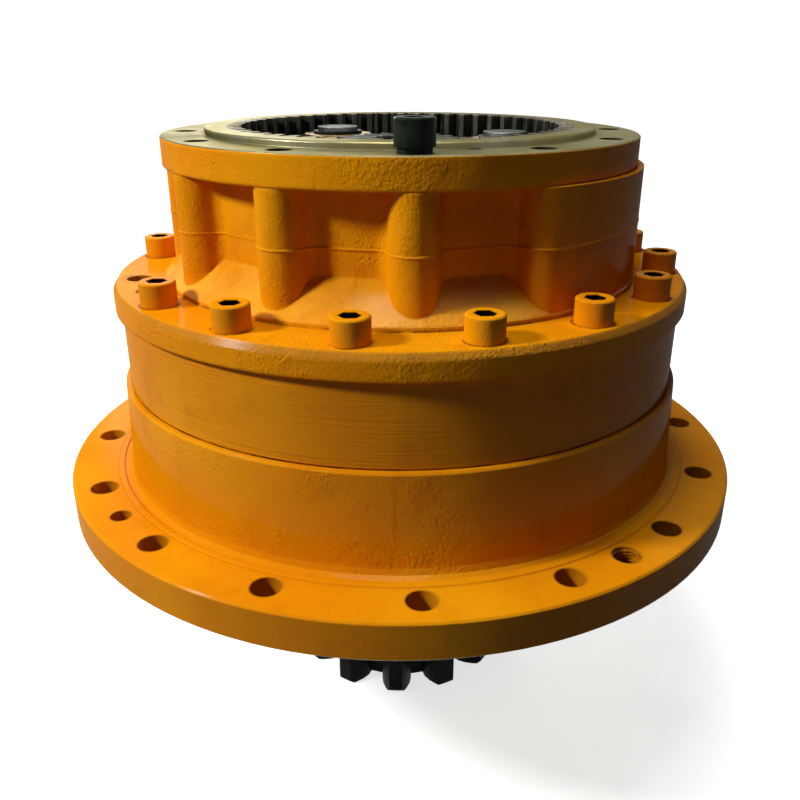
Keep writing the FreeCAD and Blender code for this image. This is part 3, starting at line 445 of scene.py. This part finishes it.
def shade_and_dirt_round_screws(f, colour):
    # painted shade in the crease along the foot of the skirt
    foot = near(f.r, SKIRT_R, 0.0012) * near(f.z, MID_TOP, 0.0020)
    colour = f.blend(foot * f.noise(80.0, 2.0).step(0.35, 0.65) * 0.5, colour, GRIME_AND_SHADE)
    screw = from_hole(f, SCREW_BOLT_R, SCREW_STEP, SCREW_STEP / 2.0)
    # dirt and painted shade round the foot of each screw head
    head = near(screw, SCREW_HEAD_R + 0.0006, 0.0020) * near(f.z, MID_TOP, 0.0010)
    colour = f.blend(head * f.noise(60.0, 2.0).step(0.35, 0.60) * 0.7, colour, GRIME_AND_SHADE)
    # painted shade inside the screw holes, seen in the empty one
    hole = (screw < SCREW_HOLE_R + 0.0001) * near(f.z, MID_TOP - 0.012, 0.030)
    return f.blend(hole * 0.6, colour, GRIME_AND_SHADE)


def skirt_and_chamfer(f, colour, skirt):
    # painted highlight: the skirt's upward slopes are painted pale
    colour = f.blend(skirt * f.mix(f.patches.step(0.35, 0.65), 0.20, 0.70), colour, SKIRT_PAINTED_HIGHLIGHT)
    # painted shade on the chamfer, broken up by noise
    chamfer = (f.r > MID_FLANGE_R - CHAMFER_IN) * near(f.z, MID_TOP - 0.0027, 0.0035)
    return f.blend(chamfer * f.mix(f.noise(70.0, 3.0), 0.35, 0.85), colour, CHAMFER_PAINTED_SHADE)


# %% Bare metal of the motor face
MOTOR_STEP = 30.0
MOTOR_HOLE_R = 0.0080
FACE_MARKS = 2900.0


def motor_face_metal(f, bolt, oil):
    metal = f.blend(oil, BARE_STEEL, OILY_STEEL)
    metal = f.blend(tool_marks(f, FACE_MARKS) * 0.30, metal, CAST_DARK)
    stain = f.noise(11.0, 4.0, 0.6, distortion=1.2).step(0.48, 0.72)
    metal = f.blend(stain * 0.45, metal, CAST_DARK)
    return f.blend(near(bolt, MOTOR_HOLE_R + 0.0008, 0.0016) * 0.7, metal, CAST_DARK)


# %% [markdown]
# The parts of this finish are put together here. Below the ring gear the raw
# inside of the casting widens like a cone, so its mask compares the radius
# with a limit that grows below a certain height.

# %% Upper housing put together
INSIDE_R = 0.150
CONE_TOP = 0.238
CONE_SLOPE = 0.71
HOLES_FROM = 0.26
SKIRT_MIDDLE = 0.205
THREAD_MARKS = 2513.0
EDGE_TINT = (0.42, 0.39, 0.28, 1.0)


def upper_housing_finish():
    f = enamel("painted upper casting", lumps=1.1, drips=1.0, edge=0.004)
    bolt = from_hole(f, MOTOR_BOLT_R, MOTOR_STEP)
    hole = (bolt < MOTOR_HOLE_R + 0.0003) * (f.z > HOLES_FROM)
    face = f.z > MOTOR_FACE - 0.0006
    limit = (CONE_TOP - f.z).of("MAXIMUM", 0.0) * CONE_SLOPE + INSIDE_R
    inside = (f.r < limit).of("MAXIMUM", hole)
    skirt = near(f.z, SKIRT_MIDDLE, 0.034) * (f.r < SKIRT_R) * f.facing_up().step(0.20, 0.55)
    oil = f.noise(18.0, 3.0, 0.6, distortion=0.8).step(0.30, 0.72)
    colour = skirt_and_chamfer(f, shade_and_dirt_round_screws(f, f.colour), skirt)
    colour = f.blend(face, colour, motor_face_metal(f, bolt, oil))
    bare = face * (1.0 - inside)
    f.set("Base Color", f.blend(inside, colour, CAST_DARK))
    f.set("Metallic", bare * 0.80)
    f.set("Roughness", f.mix(face, f.mix(f.patches, 0.26, 0.46), f.mix(oil, 0.50, 0.30)))
    f.set("Coat Weight", (1.0 - face) * f.mix(skirt, 0.06, 0.24))
    f.set("Coat Roughness", 0.20)
    f.set("Specular Tint", EDGE_TINT)
    thread = (f.z * THREAD_MARKS).of("SINE") * hole
    marks = tool_marks(f, FACE_MARKS) * bare
    return rough(f, f.surface * (1.0 - face) + marks * 0.09 + thread * 0.56)


wear(upper_housing_finish(), "upper_housing")

# %% [markdown]
# ## Cap screws and drain plug
# The screws are forged, so only the thick coat shapes them. They were
# sprayed in place, but the spray doesn't reach deep into a socket, so each
# socket is painted nearly black: bare dark steel, and painted shade deep in
# the socket. The plug is painted like the wall round it.

# %% Painted screws and plug
SOCKET_REACH = 0.0087


def painted_screw_finish():
    f = enamel("painted screws", lumps=0.35)
    across = from_hole(f, SCREW_BOLT_R, SCREW_STEP, SCREW_STEP / 2.0)
    # painted shade and bare steel: the socket is painted nearly black
    socket = (across < SOCKET_REACH) * (f.z < SCREW_TOP - 0.0006)
    f.set("Base Color", f.blend(socket, f.colour, SOCKET_STEEL_AND_SHADE))
    return rough(f, f.surface)


wear(painted_screw_finish(), "flange_cap_screws")
wear(plain_enamel("painted plug", 0.35), "drain_plug")

# %% [markdown]
# ## Gears and bearings
# The gears are hobbed and hardened, and everything in the opening is wet
# with oil: dark, with sharp highlights. The tooth tips are brighter, where
# they were ground or have run. Pure grey metal would look dry, so a smear of
# noise changes the colour and the gloss together. Bearings, pins and dowels
# are ground all over and get the same finish in paler greys.

# %% Oily steel and ground steel
GEAR_DARK = (0.06, 0.06, 0.06, 1.0)
GEAR_PALE = (0.20, 0.20, 0.19, 1.0)
GROUND_DARK = (0.13, 0.13, 0.12, 1.0)
GROUND_PALE = (0.27, 0.27, 0.25, 1.0)
TOOTH_TIP = (0.50, 0.48, 0.44, 1.0)
GREY_EDGE = (0.30, 0.31, 0.30, 1.0)


def gear_steel(name, dark, pale, gloss):
    f = Finish(name, metallic=1.0, edge=0.0008)
    smear = f.noise(35.0, 4.0, 0.6, distortion=0.6)
    colour = f.blend(smear.step(0.35, 0.70), dark, pale)
    f.set("Base Color", f.blend(f.edges() * 0.7, colour, TOOTH_TIP))
    f.set("Roughness", f.mix(smear, gloss, gloss + 0.22))
    f.set("Specular Tint", GREY_EDGE)
    f.relief(f.noise(900.0, 2.0) * 0.5 + smear * 0.8, 0.00035)
    return f.material


def each_stage(kind):
    return [stage + "_stage_" + kind + "_" + str(k) for stage in ("first", "second") for k in (1, 2, 3)]


wear(gear_steel("oily gear steel", GEAR_DARK, GEAR_PALE, 0.25),
     "first_stage_sun_gear", "second_stage_sun_gear", *each_stage("planet"))
wear(gear_steel("ground steel", GROUND_DARK, GROUND_PALE, 0.24),
     "lower_bearing_cup", "lower_bearing_cone", "lower_bearing_rollers", "upper_bearing_cup",
     "upper_bearing_cone", "upper_bearing_rollers", "joint_dowels", "ring_lock_pins",
     "first_stage_pins", "second_stage_pins", "bearing_spacer")

# %% [markdown]
# ## First ring gear
# Its lip stands proud of the motor face and is turned and oily like it. Its
# teeth hang in the dark opening, so they are oily steel painted nearly black,
# with painted shade of the opening. A mask of height and radius tells the two
# apart, so that the lip matches the face beside it.

# %% Bright oily lip, dark teeth
RING_ROOT_R = 0.1420
# oily steel, painted nearly black with the shade of the opening
RING_TEETH_OILY_SHADE = (0.025, 0.025, 0.022, 1.0)
RING_TEETH_PALE = (0.10, 0.095, 0.08, 1.0)
RING_TOOTH_TIP = (0.42, 0.40, 0.34, 1.0)


def gear_ring_finish():
    f = Finish("gear ring steel", metallic=1.0, edge=0.0008)
    smear = f.noise(22.0, 4.0, 0.6, distortion=0.6)
    lip = (f.z > MOTOR_FACE - 0.0005) * (f.r > RING_ROOT_R)
    marks = tool_marks(f, FACE_MARKS)
    top = f.blend(smear.step(0.38, 0.62), BARE_STEEL, OILY_STEEL)
    top = f.blend(marks * 0.25, top, CAST_DARK)
    teeth = f.blend(smear.step(0.35, 0.70), RING_TEETH_OILY_SHADE, RING_TEETH_PALE)
    teeth = f.blend(f.edges() * 0.6, teeth, RING_TOOTH_TIP)
    f.set("Base Color", f.blend(lip, teeth, top))
    f.set("Roughness", f.mix(smear, 0.28, 0.46))
    f.set("Specular Tint", EDGE_TINT)
    f.relief(smear * 0.8 + marks * lip * 0.5, 0.0003)
    return f.material


wear(gear_ring_finish(), "first_stage_ring_gear")

# %% [markdown]
# ## Output pinion
# Pinion and shaft are nearly black with rust proofing, a waxy film. A metal
# shader would mirror the white surroundings and turn grey, so this is a dark
# surface that isn't metal and reflects very little.

# %% Nearly black pinion
PINION_DARK = (0.007, 0.008, 0.008, 1.0)
PINION_PALE = (0.016, 0.018, 0.017, 1.0)
PINION_EDGE = (0.10, 0.10, 0.10, 1.0)


def pinion_finish():
    f = Finish("rust proofed pinion", edge=0.0025)
    smear = f.noise(28.0, 4.0, 0.6)
    colour = f.blend(smear.step(0.35, 0.70), PINION_DARK, PINION_PALE)
    f.set("Base Color", f.blend(f.edges() * 0.25, colour, PINION_EDGE))
    f.set("Roughness", f.mix(smear, 0.30, 0.55))
    f.set("Specular IOR Level", 0.04)
    f.relief(f.noise(260.0, 3.0) * 0.6 + smear, 0.0005)
    return f.material


wear(pinion_finish(), "output_pinion_shaft")

# %% [markdown]
# ## Black oxide
# The unpainted screws, clips and lock pins are black oxide, a thin dark skin
# on steel that wears off at the edges first. The loose screw in the motor
# flange has a deep socket, and its own material paints shade into it, nearly
# black.

# %% Black oxide screws
OXIDE_DARK = (0.005, 0.008, 0.006, 1.0)
OXIDE_PALE = (0.014, 0.019, 0.014, 1.0)
OXIDE_EDGE = (0.14, 0.13, 0.10, 1.0)
LOOSE_SCREW_TOP = height("motor_flange_screw", True)
LOOSE_SOCKET_R = 0.0085
LOOSE_SOCKET_DEPTH = 0.012


def loose_socket_shade(f):
    across = from_spot(f, MOTOR_BOLT_R, 0.0)
    sunk = (f.z < LOOSE_SCREW_TOP - 0.0006) * (f.z > LOOSE_SCREW_TOP - LOOSE_SOCKET_DEPTH)
    return (across < LOOSE_SOCKET_R) * sunk


def black_oxide(name, loose=False):
    f = Finish(name, edge=0.0008)
    smear = f.noise(90.0, 3.0, 0.6)
    colour = f.blend(smear.step(0.35, 0.65), OXIDE_DARK, OXIDE_PALE)
    colour = f.blend(f.edges() * 0.35, colour, OXIDE_EDGE)
    if loose:
        # painted shade deep in the loose screw's socket
        colour = f.blend(loose_socket_shade(f), colour, SOCKET_STEEL_AND_SHADE)
    f.set("Base Color", colour)
    f.set("Roughness", f.mix(smear, 0.30, 0.50))
    f.set("Specular IOR Level", 0.03)
    f.relief(f.noise(700.0, 2.0) * 0.3 + smear * 0.3, 0.0005)
    return f.material


wear(black_oxide("black oxide"), "keeper_screws", "bottom_cover_screws", "pin_lock_pins",
     "first_stage_clips", "motor_flange_washer")
wear(black_oxide("loose screw", loose=True), "motor_flange_screw")

# %% [markdown]
# ## Carriers and cover
# The carriers, the keeper plate and the bottom cover are iron castings that
# were machined. Cut iron shows its grain as small dark pits, so a fine noise
# darkens the colour, dulls the gloss and dents the surface together.

# %% Machined cast iron
IRON_DARK = (0.07, 0.066, 0.06, 1.0)
IRON_PALE = (0.16, 0.15, 0.14, 1.0)
IRON_PIT = (0.03, 0.03, 0.03, 1.0)


def carrier_iron():
    f = Finish("machined cast iron", metallic=0.8)
    grain = f.noise(300.0, 4.0, 0.6)
    smear = f.noise(30.0, 3.0, 0.6)
    colour = f.blend(smear.step(0.35, 0.70), IRON_DARK, IRON_PALE)
    f.set("Base Color", f.blend(grain.step(0.55, 0.75) * 0.3, colour, IRON_PIT))
    f.set("Roughness", f.mix(grain, 0.30, 0.50))
    f.relief(grain + smear * 0.6, 0.0004)
    return f.material


wear(carrier_iron(), "first_stage_carrier", "second_stage_carrier", "keeper_plate", "bottom_cover")

# %% [markdown]
# ## Bushes and thrust washers
# The planets run on bronze, and bronze washers take their side thrust. Oil
# darkens bronze unevenly, so two tones are blended by a smear.

# %% Bearing bronze
BRONZE_DARK = (0.30, 0.19, 0.08, 1.0)
BRONZE_PALE = (0.50, 0.34, 0.15, 1.0)


def bronze():
    f = Finish("bearing bronze", metallic=1.0)
    smear = f.noise(60.0, 3.0, 0.6)
    f.set("Base Color", f.blend(smear.step(0.35, 0.70), BRONZE_DARK, BRONZE_PALE))
    f.set("Roughness", f.mix(smear, 0.25, 0.45))
    f.relief(f.noise(500.0, 2.0), 0.0002)
    return f.material


wear(bronze(), "second_stage_washers", "first_stage_washers", "second_sun_washer", "sun_thrust_plate",
     *each_stage("bush"))

# %% [markdown]
# ## Seals
# The shaft seal and the rings in the joints are black rubber. Rubber is
# never quite black and hardly shines, so it is a dark grey with a fine grain
# and a rough surface.

# %% Seal rubber
RUBBER_DARK = (0.012, 0.012, 0.012, 1.0)
RUBBER_PALE = (0.03, 0.03, 0.03, 1.0)


def seal_rubber():
    f = Finish("seal rubber", roughness=0.6)
    grain = f.noise(400.0, 3.0)
    f.set("Base Color", f.blend(grain, RUBBER_DARK, RUBBER_PALE))
    f.relief(grain, 0.0002)
    return f.material


wear(seal_rubber(), "oil_seal", "lower_joint_seal", "upper_joint_seal")

# %% [markdown]
# ## Threads
# The solids have plain round holes and shanks, because a thread is too fine
# for them. It could be relief in a material, but a hole's rim and the loose
# screw's outline would stay smooth. So each thread is a ridge that winds
# along its hole or shank: three points across, repeated along a helix and
# joined by faces. The same function joins the rows of every ring below.

# %% Meshes from rows of points
def rows_to_mesh(name, chains, closed, finish_material, body):
    shape = bmesh.new()
    for rows in chains:
        made = [[shape.verts.new(point) for point in row] for row in rows]
        for i in range(len(made) if closed else len(made) - 1):
            here, following = made[i], made[(i + 1) % len(made)]
            for j in range(len(here) if closed else len(here) - 1):
                k = (j + 1) % len(here)
                shape.faces.new((here[j], here[k], following[k], following[j]))
    bmesh.ops.recalc_face_normals(shape, faces=shape.faces)
    mesh = bpy.data.meshes.new(name)
    shape.to_mesh(mesh)
    shape.free()
    mesh.materials.append(finish_material)
    thing = bpy.data.objects.new(name, mesh)
    bpy.context.scene.collection.objects.link(thing)
    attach(thing, body)
    print(name, "with", len(mesh.polygons), "faces")


# %% A ridge along a helix
THREAD_PITCH = 0.0025
RIDGE_HALF = 0.45 * THREAD_PITCH
STEPS_PER_TURN = 24


def helix(centre, root, crest, top, length):
    x, y = centre
    rows = []
    for i in range(int(length / THREAD_PITCH) * STEPS_PER_TURN):
        turned = 2.0 * math.pi * i / STEPS_PER_TURN
        z = top - THREAD_PITCH * (0.5 + i / STEPS_PER_TURN)
        rows.append([(x + r * math.cos(turned), y + r * math.sin(turned), z + rise)
                     for r, rise in ((root, RIDGE_HALF), (crest, 0.0), (root, -RIDGE_HALF))])
    return rows


# %% [markdown]
# The motor's threads are bare steel. The jacking hole in the flange was
# sprayed with the housing, so its thread is painted and dirty. The loose
# screw fills the front hole and carries its own thread, which is seen when
# it is lifted. A ridge starts a little below the face, as after a
# countersink, and its root is sunk in the wall, so that no gap shows.

# %% Finishes of the threads
THREAD_DARK = (0.10, 0.095, 0.07, 1.0)
THREAD_PALE = (0.26, 0.25, 0.20, 1.0)


def thread_steel():
    f = Finish("threaded steel", metallic=0.9, edge=0.0003)
    smear = f.noise(160.0, 3.0, 0.6)
    f.set("Base Color", f.blend(smear.step(0.35, 0.65), THREAD_DARK, THREAD_PALE))
    f.set("Roughness", f.mix(smear, 0.25, 0.50))
    f.relief(smear, 0.0001)
    return f.material


def painted_thread():
    f = enamel("paint in a thread", lumps=0.2)
    dirt = f.noise(150.0, 3.0, 0.6).step(0.30, 0.60)
    f.set("Base Color", f.blend(dirt * 0.75, f.colour, GRIME_AND_SHADE))
    return rough(f, f.surface)


# %% The threads
ROOT_SUNK = 0.0002
HOLE_CREST = 0.0011
SCREW_CREST = 0.0006
THREAD_START = 0.0012
MOTOR_THREAD_LENGTH = 0.030
JACKING_THREAD_LENGTH = 0.028
LOOSE_THREAD_LENGTH = 0.0245


def tapped(place, hole_r, face, length):
    return helix(place, hole_r + ROOT_SUNK, hole_r - HOLE_CREST, face - THREAD_START, length)


motor_places = [on_circle(MOTOR_BOLT_R, k * MOTOR_STEP) for k in range(1, 12)]
rows_to_mesh("motor_threads",
             [tapped(place, MOTOR_HOLE_R, MOTOR_FACE, MOTOR_THREAD_LENGTH) for place in motor_places],
             False, thread_steel(), "housing")
jacking_place = on_circle(MOUNT_BOLT_R, JACKING_HOLE_AT)
rows_to_mesh("jacking_thread", [tapped(jacking_place, JACKING_HOLE_R, FLANGE_TOP, JACKING_THREAD_LENGTH)],
             False, painted_thread(), "housing")
shank_thread = helix(on_circle(MOTOR_BOLT_R, 0.0), MOTOR_HOLE_R - ROOT_SUNK, MOTOR_HOLE_R + SCREW_CREST,
                     MOTOR_FACE - THREAD_START, LOOSE_THREAD_LENGTH)
rows_to_mesh("loose_screw_thread", [shank_thread], False, black_oxide("oxide on the thread"), "motor_screw")

# %% [markdown]
# ## Seam of the mould
# Where the two halves of the upper casting's mould met, a thin raised seam
# runs round the wall. It could follow a drawn curve, but the wall has bolt
# columns and pockets. So its path is cut from the solid by a level plane,
# and the cut edges are walked from one to the next until the loop closes.
# Its height changes along the way, as it does where a seam was ground off by
# hand.

# %% Outline of a solid at one height
SAME_POINT = 0.000005


def outline_at(name, z):
    shape = bmesh.new()
    shape.from_mesh(nodes[name].data)
    bmesh.ops.remove_doubles(shape, verts=shape.verts, dist=SAME_POINT)
    everything = shape.verts[:] + shape.edges[:] + shape.faces[:]
    cut = bmesh.ops.bisect_plane(shape, geom=everything, plane_co=(0.0, 0.0, z),
                                 plane_no=(0.0, 0.0, 1.0), clear_outer=True)["geom_cut"]
    links = {}
    for edge in cut:
        if isinstance(edge, bmesh.types.BMEdge):
            first, second = edge.verts
            links.setdefault(first, []).append(second)
            links.setdefault(second, []).append(first)
    start = max(links, key=lambda v: v.co.xy.length)
    loop, before, at = [start.co.copy()], start, links[start][0]
    while at is not start:
        loop.append(at.co.copy())
        onward = [v for v in links[at] if v is not before]
        before, at = at, onward[0]
    shape.free()
    print("outline of", name, "at", z, "has", len(loop), "points")
    return loop


# %% Rows of the seam
PARTING_Z = 0.239
SEAM_SUNK = 0.0004
SEAM_PROUD = 0.0004
SEAM_UNEVEN = 0.0007
SEAM_WANDER = 0.0012


def seam_rows(loop):
    rows = []
    for i, point in enumerate(loop):
        along = loop[(i + 1) % len(loop)] - loop[i - 1]
        out = Vector((along.y, -along.x, 0.0)).normalized()
        if out.dot(point) < 0.0:
            out = -out
        proud = SEAM_PROUD + SEAM_UNEVEN * max(0.0, 0.5 + noise.noise(point * 30.0))
        wander = SEAM_WANDER * noise.noise(point * 9.0)
        section = ((-SEAM_SUNK, 0.0016), (proud * 0.6, 0.0008), (proud, 0.0), (proud * 0.6, -0.0007),
                   (-SEAM_SUNK, -0.0014))
        rows.append([tuple(point + out * reach + Vector((0.0, 0.0, wander + rise)))
                     for reach, rise in section])
    return rows


rows_to_mesh("casting_seam", [seam_rows(outline_at("upper_housing", PARTING_Z))], True,
             plain_enamel("paint on the seam", 0.8), "housing")

# %% [markdown]
# ## Ledge at the foot of the wall
# The foot of the lower wall ends in a low ledge on the flange, less than a
# millimetre high, with a rounded rim. It could be left to a dark line in the
# paint, but the light catches its rim. So its section is turned round the
# axis, and the shade beside it is part of the lower housing's finish.

# %% Turned ledge
LEDGE = ((0.2520, -0.0005), (0.2520, 0.0008), (0.2556, 0.0008), (0.2562, 0.0006), (0.2566, 0.0001),
         (LEDGE_R, -0.0005))


def turned_rows(section, steps, place):
    return [[place(2.0 * math.pi * i / steps, r, out) for r, out in section] for i in range(steps)]


def on_the_flange(turned, r, out):
    return r * math.cos(turned), r * math.sin(turned), FLANGE_TOP + out


rows_to_mesh("foot_ledge", [turned_rows(LEDGE, 256, on_the_flange)], True,
             plain_enamel("paint on the ledge", 0.5), "housing")

# %% [markdown]
# ## Ring under the drain plug
# The plug seals on a soft copper ring. A plain washer would do from afar,
# but tightening has crushed the ring a little, so its section bulges instead
# of being square. It is turned round the plug's own axis, which points to
# the rear.

# %% Crushed copper ring
PLUG_HEAD_H = 0.012
RING = ((0.0135, 0.0000), (0.0180, 0.0000), (0.0187, 0.0004), (0.0189, 0.0008), (0.0187, 0.0013),
        (0.0180, 0.0016), (0.0135, 0.0016))
COPPER = (0.52, 0.22, 0.10, 1.0)
COPPER_STAIN = (0.22, 0.10, 0.05, 1.0)
plug_low, plug_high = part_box("drain_plug")
plug_z = (plug_low[2] + plug_high[2]) / 2.0
plug_seat = plug_high[1] - PLUG_HEAD_H


def on_the_plug(turned, r, out):
    return r * math.cos(turned), plug_seat + out, plug_z + r * math.sin(turned)


def copper():
    f = Finish("copper ring", metallic=1.0, edge=0.0003)
    stain = f.noise(240.0, 4.0, 0.6)
    f.set("Base Color", f.blend(stain.step(0.40, 0.65), COPPER, COPPER_STAIN))
    f.set("Roughness", f.mix(stain, 0.28, 0.50))
    f.relief(stain, 0.0001)
    return f.material


rows_to_mesh("plug_sealing_ring", [turned_rows(RING, 48, on_the_plug)], True, copper(), "housing")

# %% [markdown]
# ## Camera
# The photograph's camera was worked out from the circles of the housing: it
# stands a little to the left of the front mounting hole, above the part, and
# looks down at it. A lens of 37 mm on a 36 mm sensor gives the same
# perspective on a square picture.

# %% Camera at the photograph's place
CAMERA_FROM_AXIS = 0.7189
CAMERA_HEIGHT = 0.3596
CAMERA_TURN = math.radians(-3.05)
CAMERA_DOWN = math.radians(22.64)
PICTURE = 800.0
FOCAL_PIXELS = 824.2

camera_data = bpy.data.cameras.new("camera")
camera_data.sensor_width = 36.0
camera_data.lens = 36.0 * FOCAL_PIXELS / PICTURE
camera_data.clip_start = 0.01
camera = bpy.data.objects.new("camera", camera_data)
bpy.context.scene.collection.objects.link(camera)
camera.location = (CAMERA_FROM_AXIS * math.sin(CAMERA_TURN), -CAMERA_FROM_AXIS * math.cos(CAMERA_TURN),
                   CAMERA_HEIGHT)
camera.rotation_euler = (math.pi / 2.0 - CAMERA_DOWN, 0.0, CAMERA_TURN)
bpy.context.scene.camera = camera
print("camera at", [round(v, 3) for v in camera.location])

# %% [markdown]
# ## Floor and backdrop
# The background is plain white. Strong lamps could make it so, but then the
# part would be too bright as well. So floor and world show their white only
# to the camera and to reflections, and stay dark for every other ray. The
# floor keeps the part's soft shadow near it and fades to pure white outwards.

# %% Floor
FLOOR_Z = height("output_pinion_shaft", False)
FLOOR_GREY = (0.04, 0.04, 0.04, 1.0)
FLOOR_WHITE = (0.90, 0.90, 0.90, 1.0)
BLACK = (0.0, 0.0, 0.0, 1.0)
WHITE = (1.0, 1.0, 1.0, 1.0)


def seen_rays(net):
    camera_ray = net.add("ShaderNodeLightPath", {}, {}, "Is Camera Ray")
    glossy_ray = net.add("ShaderNodeLightPath", {}, {}, "Is Glossy Ray")
    transmission_ray = net.add("ShaderNodeLightPath", {}, {}, "Is Transmission Ray")
    return camera_ray.of("MAXIMUM", glossy_ray.of("MAXIMUM", transmission_ray))


def floor_finish():
    f = Finish("pale floor", roughness=0.9)
    seen = seen_rays(f)
    glow = f.mix(f.r.step(0.45, 1.5), 0.70, 1.0)
    f.set("Base Color", f.blend(seen, FLOOR_GREY, FLOOR_WHITE))
    f.set("Emission Color", f.blend(seen * glow, BLACK, WHITE))
    f.set("Emission Strength", 1.0)
    return f.material


bpy.ops.mesh.primitive_plane_add(size=40.0, location=(0.0, 0.0, FLOOR_Z - 0.0005))
floor = bpy.context.object
floor.name = "floor"
floor.data.materials.append(floor_finish())
print("floor at", round(floor.location.z, 4))


# %% World: white where it is seen, nearly black as a light
def world_light(strength):
    world = bpy.data.worlds.new("studio")
    bpy.context.scene.world = world
    world.use_nodes = True
    net = Net(world.node_tree)
    background = net.tree.nodes["Background"]
    net.feed(background.inputs["Color"], WHITE)
    net.feed(background.inputs["Strength"], net.mix(seen_rays(net), strength, 1.0))
    print("world lights with", strength)


world_light(0.012)

# %% [markdown]
# ## Lamps
# The photograph's light is hard: bright from the upper left, and nearly
# black on the right. One large lamp in front would be easier, but it would
# fill the shadows that show the shape of the wall. So a small lamp at the
# upper left draws the shapes, a larger one above softens the top faces, and
# one behind keeps the back from being black.

# %% Three lamps
def lamp(name, place, target, size, power):
    data = bpy.data.lights.new(name, "AREA")
    data.shape = "DISK"
    data.size = size
    data.energy = power
    thing = bpy.data.objects.new(name, data)
    thing.location = place
    thing.rotation_euler = (Vector(target) - Vector(place)).to_track_quat("-Z", "Y").to_euler()
    bpy.context.scene.collection.objects.link(thing)
    print("lamp", name, "with", power, "watts")


lamp("window", place=(-1.64, -0.55, 1.32), target=(0.0, 0.0, 0.12), size=0.34, power=41.0)
lamp("skylight", place=(-0.15, -0.20, 2.3), target=(0.0, 0.0, 0.1), size=0.9, power=24.0)
lamp("rear fill", place=(-0.5, 2.2, 0.9), target=(0.0, 0.0, 0.1), size=1.0, power=14.0)

bpy.context.scene.view_settings.view_transform = "Standard"
